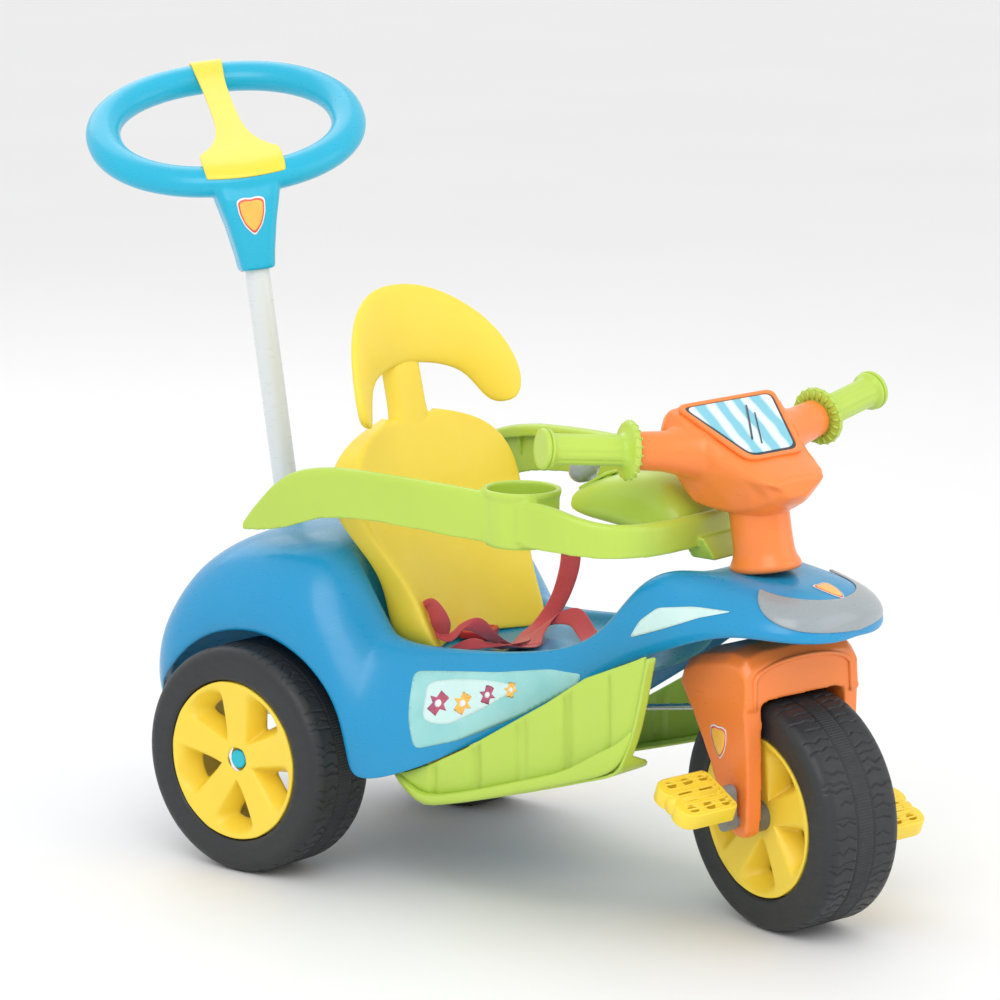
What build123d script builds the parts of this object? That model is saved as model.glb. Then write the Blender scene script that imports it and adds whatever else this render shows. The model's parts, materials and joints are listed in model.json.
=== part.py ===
import os
from math import atan2, cos, degrees, radians, sin, tan

from build123d import *

os.makedirs("parts", exist_ok=True)

# Frame: +X forward, +Y to the rider's left, +Z up, origin on the ground under the rear axle.

# ---------------------------------------------------------------- overall sizes (mm)
wheelbase = 540.0
track = 420.0  # over the outer faces of the rear tyres
wheel_radius = 115.0
rear_tyre_width = 83.0
front_tyre_width = 89.0
rake = 10.0  # steering axis and push tube lean back by this angle
wheel_camber = 2.9  # of the front wheel once it is turned to rest
axle_trail = 5.0  # front axle behind the nominal wheelbase
rest_steer = 17.0  # the stored part stands with its front turned this far to the rider's right
wall = 3.0  # moulded shells

# ---------------------------------------------------------------- fits
shaft_gap = 0.05  # radial running clearance of every shaft
seat_gap = 0.05  # radial gap of pieces that are pressed or clipped in place
body_gap = 0.4  # between curved faces of neighbouring pieces

# ---------------------------------------------------------------- wheels
tyre_shoulder = 14.0
tyre_seat_radius = 81.0
rim_wall = 4.0
rim_recess = 18.0  # spoke disc below the tyre's outer face
spoke_disc = 9.0
spoke_count = 5
hub_radius = 17.0
axle_radius = 6.0
hub_cap_radius = 9.5
hub_cap_height = 4.0
axle_bush_radius = 9.0
bush_flange = 4.0

# ---------------------------------------------------------------- body shell
fender_inset = 25.0  # fender inside the tyres' outer faces
arch_radius = 130.0
well_depth = 93.0  # wheel well, from the track's outer face inwards
deck_height = 340.0
seat_height = 225.0
seat_half_width = 100.0
seat_back_x = 90.0
seat_lean = 13.0
body_tail = 172.0  # behind the rear axle
nose_drop = 122.0  # cockpit's front wall behind the front axle
nose_reach = 78.0  # nose tip ahead of the front axle
nose_height = 350.0
nose_half_width = 92.0
waist_half_width = 100.0

# ---------------------------------------------------------------- steering
tube_radius = 11.0
steer_bush_wall = 3.0
head_boss_radius = 20.0
head_bottom = 298.0
fork_inner = 50.0
fork_leg = 16.0
fork_tip_radius = 18.0
tyre_air = 6.0  # fork crown above the tyre
column_base_height = 356.0
column_depth = 32.0
column_half = 28.0
column_shift = 5.0  # ahead of the steering axis
cowl_height = 421.0
grip_length = 93.0
grip_radius = 15.0
grip_bore = 8.0
bar_height = 456.0  # grips' axes at the cowl's middle
grip_flange_radius = 28.5
grip_end_radius = 19.5
grip_sweep = 14.5
grip_rise = 7.0
cowl_arm_reach = 112.0
cowl_arm_radius = 18.0

# ---------------------------------------------------------------- cranks and pedals
crank_radius = 30.0
crank_offset = 77.0  # crank arm from the wheel's middle plane
spindle_radius = 5.0
pedal_offset = 115.0
pedal_width = 62.0
pedal_length = 64.0
pedal_thickness = 22.0
pedal_tilt = 24.0  # both pedals' front edges hang this far down at rest

# ---------------------------------------------------------------- seat
backrest_half_width = 132.0
backrest_top = 445.0
backrest_thickness = 14.0
neck_half_width = 28.0
neck_top = 488.0
headrest_half_width = 126.0
headrest_top = 578.0

# ---------------------------------------------------------------- guard ring
guard_half_width = 165.0
guard_front = 440.0
guard_top = 418.0
guard_depth = 46.0
guard_wall = 9.0
cup_radius = 33.0
cup_wall = 3.5
cup_depth = 52.0
cup_x = 304.0
cup_y = -131.0
cup_top = 421.0

# ---------------------------------------------------------------- console and its lever
console_half = 40.0
lever_length = 34.0
lever_radius = 3.5
knob_radius = 16.0
lever_slot_length = 30.0
lever_slot_width = 9.0

# ---------------------------------------------------------------- footrests
footrest_width = 52.0

# ---------------------------------------------------------------- push bar and link
push_tube_radius = 12.7
push_tube_wall = 1.2
push_foot_x = -70.0
push_foot_z = 118.0
push_tube_length = 540.0
push_bush_wall = 3.0
handle_turn = 23.0  # handle clamped on the tube this far past straight ahead
ring_half_width = 129.0
ring_half_depth = 110.0
ring_section = 15.5
ring_tilt = 20.0
link_back = 57.0  # link's pivots behind the steering axis and the push tube, with the wheel straight
link_side = 45.0  # and to the rider's right of them
link_height = 232.0
link_radius = 3.0
link_drop = 12.0  # rod's middle below its pivots
link_pin_grip = 9.0  # pins' reach into the fork and through the arm
push_arm_rise = 16.0  # arm above the push tube's foot
push_arm_thickness = 5.0
link_pivot_gap = 0.5  # the rear pivot is left loose

# ---------------------------------------------------------------- derived places
track_half = track / 2
fender_half = track_half - fender_inset
well_half = track_half - well_depth
rear_wheel_y = track_half - rear_tyre_width / 2
lean = tan(radians(rake))
up_axis = Vector(-sin(radians(rake)), 0, cos(radians(rake)))
camber = radians(wheel_camber)
front_axle_z = (
    (wheel_radius - tyre_shoulder) * cos(camber)
    + (front_tyre_width / 2 - tyre_shoulder) * sin(camber)
    + tyre_shoulder
)
front_axle_x = wheelbase - axle_trail
steer_foot_x = front_axle_x + front_axle_z * lean


def steer_point(height):
    """A point of the steering axis."""
    return Vector(steer_foot_x - height * lean, 0, height)


def axis_plane(height):
    """Plane square to the steering axis, x forward."""
    return Plane(origin=steer_point(height), x_dir=(cos(radians(rake)), 0, sin(radians(rake))), z_dir=up_axis)


push_plane = Plane(
    origin=(push_foot_x, 0, push_foot_z), x_dir=(cos(radians(rake)), 0, sin(radians(rake))), z_dir=up_axis
)


def turn_about(plane, angle):
    """Turn about a plane's normal, as a location that moves finished pieces."""
    return plane.location * Location((0, 0, 0), (0, 0, angle)) * plane.location.inverse()


steered = turn_about(axis_plane(link_height), -rest_steer)
pushed = turn_about(push_plane, -rest_steer)
handled = turn_about(push_plane, -rest_steer - handle_turn)


def save(builder, name, place=None):
    """Label a finished piece, put it in its rest place and write it."""
    piece = builder.part if place is None else builder.part.moved(place)
    piece.label = name
    export_step(piece, f"parts/{name}.step")


def lateral(x, y, z):
    """Plane across the tricycle at y, its normal to the left, x forward and z up seen from the right."""
    return Plane(origin=(x, y, z), x_dir=(1, 0, 0), z_dir=(0, -1, 0))


# ================================================================ wheels
def make_tyre(name, centre, width, place=None):
    half = width / 2
    side_top = wheel_radius - tyre_shoulder
    with BuildPart() as tyre:
        with BuildSketch(Plane(origin=centre, x_dir=(0, 1, 0), z_dir=(1, 0, 0))):
            with BuildLine():
                Polyline(
                    (-half + 2, tyre_seat_radius),
                    (-half, tyre_seat_radius + 4),
                    (-half, side_top),
                )
                RadiusArc((-half, side_top), (-half + tyre_shoulder, wheel_radius), tyre_shoulder)
                Line((-half + tyre_shoulder, wheel_radius), (half - tyre_shoulder, wheel_radius))
                RadiusArc((half - tyre_shoulder, wheel_radius), (half, side_top), tyre_shoulder)
                Polyline(
                    (half, side_top),
                    (half, tyre_seat_radius + 4),
                    (half - 2, tyre_seat_radius),
                    (-half + 2, tyre_seat_radius),
                )
            make_face()
        revolve(axis=Axis(centre, (0, 1, 0)))
    save(tyre, name, place)


def make_rim(name, centre, width, outward, bore, place=None):
    """Barrel and dished five-spoke disc; outward is +1 or -1 along Y, 0 for a disc on each side."""
    half = width / 2 - 3
    outer = tyre_seat_radius - seat_gap
    sides = (outward,) if outward else (1, -1)
    across = Plane(origin=centre, x_dir=(1, 0, 0), z_dir=(0, -1, 0))
    with BuildPart() as rim:
        with BuildSketch(across):
            Circle(outer)
            Circle(outer - rim_wall, mode=Mode.SUBTRACT)
        extrude(amount=half, both=True)
        for side in sides:
            disc_out = -side * (width / 2 - rim_recess)
            with BuildSketch(across.offset(disc_out)):
                Circle(outer - rim_wall + 0.5)
            extrude(amount=side * spoke_disc)
            with BuildSketch(across.offset(disc_out)) as windows:
                with PolarLocations(0, spoke_count, start_angle=90 + 180 / spoke_count):
                    Polygon((29, -8), (61, -31), (70, -12), (70, 12), (61, 31), (29, 8), align=None)
                fillet(windows.vertices(), 4)
            extrude(amount=side * spoke_disc, mode=Mode.SUBTRACT)
        with BuildSketch(across):
            Circle(hub_radius)
        hub_half = width / 2 - rim_recess + 4
        extrude(amount=hub_half, both=True)
        with BuildSketch(across):
            Circle(bore)
        extrude(amount=width, both=True, mode=Mode.SUBTRACT)
    save(rim, name, place)


for side, word in ((-1, "right"), (1, "left")):
    wheel_centre = (0, side * rear_wheel_y, wheel_radius)
    make_tyre(f"rear_tyre_{word}", wheel_centre, rear_tyre_width)
    make_rim(f"rear_rim_{word}", wheel_centre, rear_tyre_width, side, axle_radius + shaft_gap)
    cap_face = track_half - rim_recess + 4
    with BuildPart() as hub_cap:
        with BuildSketch(Plane(origin=(0, side * cap_face, wheel_radius), z_dir=(0, side, 0))):
            Circle(hub_cap_radius)
        extrude(amount=hub_cap_height)
        fillet(hub_cap.faces().sort_by(Axis.Y)[side > 0 and -1 or 0].edges(), 2)
    save(hub_cap, f"hub_cap_{word}")

with BuildPart() as rear_axle:
    with BuildSketch(lateral(0, 0, wheel_radius)):
        Circle(axle_radius)
    extrude(amount=track_half - rim_recess + 3, both=True)
save(rear_axle, "rear_axle")

with BuildPart() as axle_bushes:
    for side in (-1, 1):
        bush_plane = Plane(origin=(0, side * (well_half - wall - bush_flange), wheel_radius), z_dir=(0, side, 0))
        for radius, length in ((12, bush_flange - seat_gap), (axle_bush_radius, 2 * bush_flange + wall)):
            with BuildSketch(bush_plane):
                Circle(radius)
                Circle(axle_radius + shaft_gap, mode=Mode.SUBTRACT)
            extrude(amount=length)
save(axle_bushes, "axle_bushes")

front_centre = (front_axle_x, 0, front_axle_z)
make_tyre("front_tyre", front_centre, front_tyre_width, steered)
make_rim("front_rim", front_centre, front_tyre_width, 0, axle_radius + seat_gap, steered)

spacer_inner = front_tyre_width / 2 - rim_recess + 4
with BuildPart() as hub_spacers:
    for side in (-1, 1):
        with BuildSketch(
            Plane(origin=(front_axle_x, side * (spacer_inner + 0.2), front_axle_z), z_dir=(0, side, 0))
        ):
            Circle(15)
            Circle(axle_radius + seat_gap, mode=Mode.SUBTRACT)
        extrude(amount=fork_inner - spacer_inner - 1.2)
save(hub_spacers, "hub_spacers", steered)

with BuildPart() as crank_axle:
    with BuildSketch(lateral(front_axle_x, 0, front_axle_z)):
        Circle(axle_radius)
    extrude(amount=crank_offset + axle_radius, both=True)
    for side in (-1, 1):
        with BuildSketch(lateral(front_axle_x, side * crank_offset + axle_radius, front_axle_z)):
            with Locations((0, -side * crank_radius / 2)):
                SlotCenterToCenter(crank_radius, 2 * axle_radius + 3, rotation=90)
        extrude(amount=2 * axle_radius)
        with BuildSketch(
            Plane(
                origin=(front_axle_x, side * crank_offset, front_axle_z - side * crank_radius),
                z_dir=(0, side, 0),
            )
        ):
            Circle(spindle_radius)
        extrude(amount=pedal_offset + pedal_width / 2 - 4 - crank_offset)
save(crank_axle, "crank_axle", steered)

for side, word in ((-1, "right"), (1, "left")):
    pedal_z = front_axle_z - side * crank_radius
    with BuildPart() as pedal:
        with BuildSketch(Plane(origin=(front_axle_x, side * pedal_offset, pedal_z - pedal_thickness / 2))):
            Rectangle(pedal_length, pedal_width)
        extrude(amount=pedal_thickness)
        fillet(pedal.edges().filter_by(Axis.Z), 8)
        with BuildSketch(Plane(origin=(front_axle_x, side * pedal_offset, pedal_z + pedal_thickness / 2))):
            with Locations((-22, 0), (22, 0)):
                Rectangle(10, pedal_width - 16)
        extrude(amount=-5, mode=Mode.SUBTRACT)
        with BuildSketch(lateral(front_axle_x, 0, pedal_z)):
            Circle(spindle_radius + shaft_gap)
        extrude(amount=track, both=True, mode=Mode.SUBTRACT)
        nut_y = side * (pedal_offset + pedal_width / 2 - 3)
        with BuildSketch(Plane(origin=(front_axle_x, nut_y, pedal_z), z_dir=(0, side, 0))):
            Circle(spindle_radius + 2)
        extrude(amount=3)
    spindle = Location((front_axle_x, 0, pedal_z))
    save(pedal, f"pedal_{word}", steered * spindle * Location((0, 0, 0), (0, pedal_tilt, 0)) * spindle.inverse())

# ================================================================ body shell
cockpit_front = wheelbase - nose_drop
rim_front = cockpit_front - 29
body_side = [
    (-body_tail + 10, wheel_radius + 15),
    (-body_tail, wheel_radius + 57),
    (-150, deck_height - 104),
    (-112, deck_height - 48),
    (-70, deck_height - 12),
    (-20, deck_height),
    (66, deck_height),
    (94, deck_height - 32),
    (108, seat_height + 54),
    (127, seat_height + 27),
    (166, seat_height + 17),
    (267, seat_height + 25),
    (rim_front - 49, seat_height + 37),
    (rim_front, nose_height - 74),
    (cockpit_front, nose_height - 41),
    (cockpit_front + 22, nose_height - 6),
    (cockpit_front + 44, nose_height),
    (wheelbase, nose_height),
    (wheelbase + nose_reach - 21, nose_height - 20),
    (wheelbase + nose_reach, nose_height - 52),
    (wheelbase + nose_reach - 8, nose_height - 60),
    (wheelbase - 11, nose_height - 48),
    (wheelbase - 60, nose_height - 66),
    (wheelbase - 92, nose_height - 76),
    (cockpit_front - 18, nose_height - 98),
    (cockpit_front - 65, nose_height - 130),
    (304, wheel_radius + 75),
    (252, wheel_radius + 43),
    (187, wheel_radius + 9),
    (158, wheel_radius - 3),
    (125, wheel_radius - 5),
]
body_half_plan = [
    (-body_tail, 0),
    (-body_tail, fender_half - 62),
    (-body_tail + 18, fender_half - 22),
    (-body_tail + 48, fender_half),
    (125, fender_half),
    (165, fender_half - 10),
    (252, fender_half - 46),
    (rim_front - 49, waist_half_width + 16),
    (cockpit_front + 12, waist_half_width),
    (wheelbase - 70, nose_half_width),
    (wheelbase - 11, nose_half_width),
    (wheelbase + nose_reach - 26, nose_half_width - 14),
    (wheelbase + nose_reach - 6, nose_half_width - 40),
    (wheelbase + nose_reach, 0),
]
recess_side = [
    (seat_back_x, seat_height),
    (cockpit_front - 28, seat_height),
    (cockpit_front + 8, nose_height - 60),
    (cockpit_front + 28, nose_height + 80),
    (seat_back_x - (deck_height + 80 - seat_height) * tan(radians(seat_lean)), deck_height + 80),
]


def inset(points, amount):
    """Corners of a closed outline moved inwards by amount; a negative amount moves them outwards."""
    turn = sum(a[0] * b[1] - b[0] * a[1] for a, b in zip(points, points[1:] + points[:1]))
    inward = amount if turn > 0 else -amount
    moved = []
    for before, at, after in zip(points[-1:] + points[:-1], points, points[1:] + points[:1]):
        along = (Vector(*at) - Vector(*before)).normalized()
        onward = (Vector(*after) - Vector(*at)).normalized()
        share = inward / (1 + along.dot(onward))
        moved.append((at[0] - share * (along.Y + onward.Y), at[1] + share * (along.X + onward.X)))
    return moved


body_plan = body_half_plan + [(x, -y) for x, y in reversed(body_half_plan[1:-1])]


with BuildPart() as wells:
    with BuildSketch(lateral(0, 0, wheel_radius)):
        Circle(arch_radius)
    extrude(amount=track, both=True)
    with BuildSketch(lateral(0, 0, wheel_radius)):
        Circle(arch_radius + 1)
    extrude(amount=well_half, both=True, mode=Mode.SUBTRACT)
with BuildPart() as well_skins:
    with BuildSketch(lateral(0, 0, wheel_radius)):
        Circle(arch_radius + wall)
    extrude(amount=track, both=True)
    with BuildSketch(lateral(0, 0, wheel_radius)):
        Circle(arch_radius + wall + 1)
    extrude(amount=well_half - wall, both=True, mode=Mode.SUBTRACT)
with BuildPart() as recess:
    with BuildSketch(lateral(0, 0, 0)):
        Polygon(recess_side, align=None)
    extrude(amount=seat_half_width, both=True)
with BuildPart() as recess_skin:
    with BuildSketch(lateral(0, 0, 0)):
        Polygon(inset(recess_side, -wall), align=None)
    extrude(amount=seat_half_width + wall, both=True)
with BuildPart() as head_boss:
    with BuildSketch(axis_plane(head_bottom)):
        Circle(head_boss_radius)
    extrude(amount=nose_height - head_bottom - 1)
with BuildPart() as hollow:
    with BuildSketch(lateral(0, 0, 0)) as inner_side:
        Polygon(inset(body_side, wall), align=None)
        add(inner_side.sketch_local.moved(Location((0, -2.5 * wall, 0))))
    extrude(amount=track, both=True)
    with BuildSketch():
        Polygon(inset(body_plan, wall), align=None)
    extrude(amount=2 * deck_height, mode=Mode.INTERSECT)
    add(well_skins.part, mode=Mode.SUBTRACT)
    add(recess_skin.part, mode=Mode.SUBTRACT)
    add(head_boss.part, mode=Mode.SUBTRACT)

tube_bush_radius = push_tube_radius + push_bush_wall
with BuildPart() as body_shell:
    with BuildSketch(lateral(0, 0, 0)):
        Polygon(body_side, align=None)
    extrude(amount=track, both=True)
    with BuildSketch():
        Polygon(body_plan, align=None)
    extrude(amount=2 * deck_height, mode=Mode.INTERSECT)
    add(wells.part, mode=Mode.SUBTRACT)
    add(recess.part, mode=Mode.SUBTRACT)
    add(hollow.part, mode=Mode.SUBTRACT)
    # steering head, push tube and axle holes
    with BuildSketch(axis_plane(head_bottom - 5)):
        Circle(tube_radius + steer_bush_wall)
    extrude(amount=2 * (nose_height - head_bottom), mode=Mode.SUBTRACT)
    with BuildSketch(push_plane.offset(150)):
        Circle(tube_bush_radius)
    extrude(amount=150, mode=Mode.SUBTRACT)
    with BuildSketch(lateral(0, 0, wheel_radius)):
        Circle(axle_bush_radius + seat_gap)
    extrude(amount=well_half + 1, both=True, mode=Mode.SUBTRACT)
save(body_shell, "body_shell")

# ---------------------------------------------------------------- bushes and the cross bracket
for name, height, length, flange in (
    ("steering_bush_upper", nose_height + 4, -18, 1.6),
    ("steering_bush_lower", head_bottom - 0.3, 14, -1.6),
):
    with BuildPart() as bush:
        with BuildSketch(axis_plane(height)):
            Circle(tube_radius + steer_bush_wall - seat_gap)
            Circle(tube_radius + shaft_gap, mode=Mode.SUBTRACT)
        extrude(amount=length)
        with BuildSketch(axis_plane(height)):
            Circle(tube_radius + steer_bush_wall + 4)
            Circle(tube_radius + shaft_gap, mode=Mode.SUBTRACT)
        extrude(amount=flange)
    save(bush, name)

bracket_height = 26.0
with BuildPart() as cross_bracket:
    with BuildSketch(push_plane.offset(bracket_height)):
        Rectangle(56, 2 * (well_half - wall - seat_gap))
        Circle(tube_bush_radius + seat_gap, mode=Mode.SUBTRACT)
    extrude(amount=3)
    for side in (-1, 1):
        with BuildSketch(push_plane.offset(bracket_height)):
            with Locations((0, side * (well_half - wall - seat_gap - 1.5))):
                Rectangle(56, 3)
        extrude(amount=24)
save(cross_bracket, "cross_bracket")

for name, height, length in (
    ("push_bush_lower", bracket_height - 3, 16),
    ("push_bush_upper", (deck_height - push_foot_z) / cos(radians(rake)) - 24, 16),
):
    with BuildPart() as bush:
        with BuildSketch(push_plane.offset(height)):
            Circle(tube_bush_radius - seat_gap)
            Circle(push_tube_radius + shaft_gap, mode=Mode.SUBTRACT)
        extrude(amount=length)
        with BuildSketch(push_plane.offset(height)):
            Circle(tube_bush_radius + 4)
            Circle(push_tube_radius + shaft_gap, mode=Mode.SUBTRACT)
        extrude(amount=2.5)
    save(bush, name)

# ---------------------------------------------------------------- headlight band across the nose
band_low = nose_height - 46
band_high = nose_height - 16
with BuildPart() as headlight_band:
    with BuildSketch(Plane.XY.offset(band_low)):
        Polygon(inset(body_plan, -3.4), align=None)
    extrude(amount=band_high - band_low)
    with BuildSketch(Plane.XY.offset(band_low)):
        Polygon(inset(body_plan, -seat_gap), align=None)
    extrude(amount=band_high - band_low, mode=Mode.SUBTRACT)
    with BuildSketch(Plane.XY.offset(band_low)):
        with Locations((wheelbase + 8, 0)):
            Rectangle(2 * wheelbase, 2 * track, align=(Align.MAX, Align.CENTER))
    extrude(amount=band_high - band_low, mode=Mode.SUBTRACT)
save(headlight_band, "headlight_band")

# ================================================================ steering body
fork_side = [
    (-fork_tip_radius, 0),
    (-42, 60),
    (-88, 118),
    (-95, 134),
    (-92, 146),
    (-70, 152),
    (-8, 168),
    (12, 164),
    (19, 140),
    (17, 80),
    (fork_tip_radius, 0),
]
fork_outer = fork_inner + fork_leg
tube_foot = front_axle_z + 136
with BuildPart() as fork:
    with BuildSketch(lateral(front_axle_x, 0, front_axle_z)):
        with BuildLine():
            Polyline(fork_side)
            ThreePointArc((fork_tip_radius, 0), (0, -fork_tip_radius), (-fork_tip_radius, 0))
        make_face()
    extrude(amount=fork_outer, both=True)
    with BuildSketch(lateral(front_axle_x, 0, front_axle_z)):
        Circle(wheel_radius + tyre_air)
    extrude(amount=fork_inner, both=True, mode=Mode.SUBTRACT)
    with BuildSketch(lateral(front_axle_x, 0, front_axle_z)):
        Circle(axle_radius + shaft_gap)
    extrude(amount=track, both=True, mode=Mode.SUBTRACT)
    # blind hole up into the crown's rear edge for the link's pin
    with BuildSketch(axis_plane(link_height).offset(-link_drop)):
        with Locations((-link_back, -link_side)):
            Circle(link_radius + shaft_gap)
    extrude(amount=link_drop + link_pin_grip + 1, mode=Mode.SUBTRACT)
    with BuildSketch(axis_plane(tube_foot - 0.5)):
        Circle(tube_radius + seat_gap)
    extrude(amount=track, mode=Mode.SUBTRACT)
save(fork, "fork", steered)

with BuildPart() as steering_tube:
    with BuildSketch(axis_plane(tube_foot)):
        Circle(tube_radius)
        Circle(tube_radius - 2, mode=Mode.SUBTRACT)
    extrude(amount=(bar_height - grip_bore - 2 - tube_foot) / cos(radians(rake)))
save(steering_tube, "steering_tube", steered)

column_top = cowl_height + 14
with BuildPart() as column_cover:
    with BuildSketch(axis_plane(column_base_height)):
        with Locations((column_shift, 0)):
            Ellipse(column_depth + 6, column_half + 5)
    with BuildSketch(axis_plane(column_base_height + 12)):
        with Locations((column_shift, 0)):
            Ellipse(column_depth, column_half)
    loft()
    with BuildSketch(axis_plane(column_base_height + 12)):
        with Locations((column_shift, 0)):
            Ellipse(column_depth, column_half)
    extrude(amount=column_top - column_base_height - 12)
    with BuildSketch(axis_plane(column_base_height - 1)):
        Circle(tube_radius + seat_gap)
    extrude(amount=track, mode=Mode.SUBTRACT)
save(column_cover, "column_cover", steered)

# ---------------------------------------------------------------- cowl, screen and handlebar
cowl_side = [
    (-124, 446),
    (-128, 480),
    (-106, 504),
    (-92, 508),
    (2, 458),
    (6, 446),
    (-2, 428),
    (-22, 410),
    (-60, cowl_height - 7),
    (-100, cowl_height - 5),
]
cowl_side = [(wheelbase + x, z) for x, z in cowl_side]
cowl_rear_half = 64.0
cowl_front_half = 36.0
cowl_plan = [
    (wheelbase - 128, -cowl_rear_half),
    (wheelbase - 84, -cowl_rear_half),
    (wheelbase + 6, -cowl_front_half),
    (wheelbase + 6, cowl_front_half),
    (wheelbase - 84, cowl_rear_half),
    (wheelbase - 128, cowl_rear_half),
]
bar_point = (wheelbase - 70, 0, bar_height)


def bar_plane(side):
    """Plane square to one side's grip axis, at the cowl's middle."""
    outward = Vector(
        -sin(radians(grip_sweep)),
        side * cos(radians(grip_sweep)),
        tan(radians(grip_rise)),
    )
    return Plane(origin=bar_point, z_dir=outward.normalized())


grip_start = cowl_arm_reach / cos(radians(grip_sweep))
with BuildPart() as cowl:
    with BuildSketch(lateral(0, 0, 0)):
        Polygon(cowl_side, align=None)
    extrude(amount=track, both=True)
    with BuildSketch():
        Polygon(cowl_plan, align=None)
    extrude(amount=2 * cowl_height, mode=Mode.INTERSECT)
    for side in (-1, 1):
        with BuildSketch(bar_plane(side).offset(36)):
            Circle(30)
        with BuildSketch(bar_plane(side).offset(grip_start)):
            Circle(cowl_arm_radius)
        loft()
    with BuildPart(mode=Mode.PRIVATE) as inside:
        with BuildSketch(lateral(0, 0, 0)):
            Polygon(inset(cowl_side, wall), align=None)
        extrude(amount=track, both=True)
        with BuildSketch():
            Polygon(inset(cowl_plan, wall), align=None)
        extrude(amount=2 * cowl_height, mode=Mode.INTERSECT)
    add(inside.part, mode=Mode.SUBTRACT)
    for side in (-1, 1):
        with BuildSketch(bar_plane(side)):
            Circle(grip_bore + seat_gap)
        extrude(amount=track, mode=Mode.SUBTRACT)
    with BuildSketch(axis_plane(cowl_height - 40)):
        with Locations((column_shift, 0)):
            Ellipse(column_depth + seat_gap, column_half + seat_gap)
    extrude(amount=50, mode=Mode.SUBTRACT)
save(cowl, "cowl", steered)

with BuildPart() as handlebar_core:
    for side in (-1, 1):
        with BuildSketch(bar_plane(side)):
            Circle(grip_bore)
        extrude(amount=grip_start + grip_length - 6)
    with Locations(Location(bar_point)):
        Sphere(grip_bore)
save(handlebar_core, "handlebar_core", steered)

for side, word in ((-1, "right"), (1, "left")):
    grip_plane = bar_plane(side).offset(grip_start + 0.2)
    with BuildPart() as grip:
        with BuildSketch(grip_plane):
            Circle(grip_flange_radius)
        extrude(amount=6)
        with BuildSketch(grip_plane):
            Circle(grip_radius)
        extrude(amount=grip_length)
        with BuildSketch(grip_plane.offset(grip_length - 9)):
            Circle(grip_end_radius)
        extrude(amount=9)
        with BuildSketch(grip_plane):
            Circle(grip_bore + seat_gap)
        extrude(amount=grip_length - 5, mode=Mode.SUBTRACT)
    save(grip, f"grip_{word}", steered)

screen_rise = (cowl_side[3][1] - cowl_side[4][1]) / (cowl_side[4][0] - cowl_side[3][0])
screen_plane = Plane(
    origin=(wheelbase - 92, 0, cowl_side[3][1] + 0.2), x_dir=(1, 0, -screen_rise), z_dir=(screen_rise, 0, 1)
)
with BuildPart() as windscreen_panel:
    with BuildSketch(screen_plane) as screen:
        Polygon((0, -53), (84, -27), (84, 27), (0, 53), align=None)
        fillet(screen.vertices(), 7)
    extrude(amount=2)
save(windscreen_panel, "windscreen_panel", steered)

# ================================================================ seat
seat_out = Vector(cos(radians(seat_lean)), 0, sin(radians(seat_lean)))
seat_foot = Vector(seat_back_x + body_gap, 0, seat_height + body_gap)

back_rise = (backrest_top - seat_height) / cos(radians(seat_lean))
neck_rise = (neck_top - seat_height) / cos(radians(seat_lean))
head_rise = (headrest_top - seat_height) / cos(radians(seat_lean))
back_plane = Plane(origin=seat_foot, x_dir=(0, 1, 0), z_dir=seat_out)
with BuildPart() as backrest:
    with BuildSketch(back_plane):
        with BuildLine():
            Polyline(
                (-78, 0),
                (-seat_half_width + body_gap, 14),
                (-seat_half_width + body_gap, 118),
                (-backrest_half_width, 124),
                (-backrest_half_width, 150),
            )
            ThreePointArc((-backrest_half_width, 150), (0, back_rise), (backrest_half_width, 150))
            Polyline(
                (backrest_half_width, 150),
                (backrest_half_width, 124),
                (seat_half_width - body_gap, 118),
                (seat_half_width - body_gap, 14),
                (78, 0),
                (-78, 0),
            )
        make_face()
    extrude(amount=backrest_thickness)
    for side in (-1, 1):
        with BuildSketch(back_plane.offset(backrest_thickness)):
            with Locations((side * (backrest_half_width - 8), 154)):
                Rectangle(16, 60)
        extrude(amount=22, taper=8)
    with BuildSketch(back_plane):
        with Locations((0, (back_rise + neck_rise) / 2 - 10)):
            Rectangle(2 * neck_half_width, neck_rise - back_rise + 20)
    extrude(amount=backrest_thickness - 4)
save(backrest, "backrest")

head_low = neck_rise - 14
with BuildPart() as headrest:
    with BuildSketch(back_plane.offset(backrest_thickness - 4 + 0.2)):
        with BuildLine():
            Polyline(
                (-headrest_half_width, head_low + 44),
                (-headrest_half_width + 6, head_low - 12),
                (-headrest_half_width + 24, head_low - 12),
                (-headrest_half_width + 42, head_low + 22),
            )
            ThreePointArc(
                (-headrest_half_width + 42, head_low + 22),
                (0, head_low + 14),
                (headrest_half_width - 42, head_low + 22),
            )
            Polyline(
                (headrest_half_width - 42, head_low + 22),
                (headrest_half_width - 24, head_low - 12),
                (headrest_half_width - 6, head_low - 12),
                (headrest_half_width, head_low + 44),
            )
            ThreePointArc(
                (headrest_half_width, head_low + 44), (0, head_rise), (-headrest_half_width, head_low + 44)
            )
        make_face()
    extrude(amount=10)
    for side in (-1, 1):
        with BuildSketch(back_plane.offset(backrest_thickness + 6)):
            with Locations((side * (headrest_half_width - 12), head_low + 26)):
                Rectangle(16, 52)
        extrude(amount=30)
save(headrest, "headrest")

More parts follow.
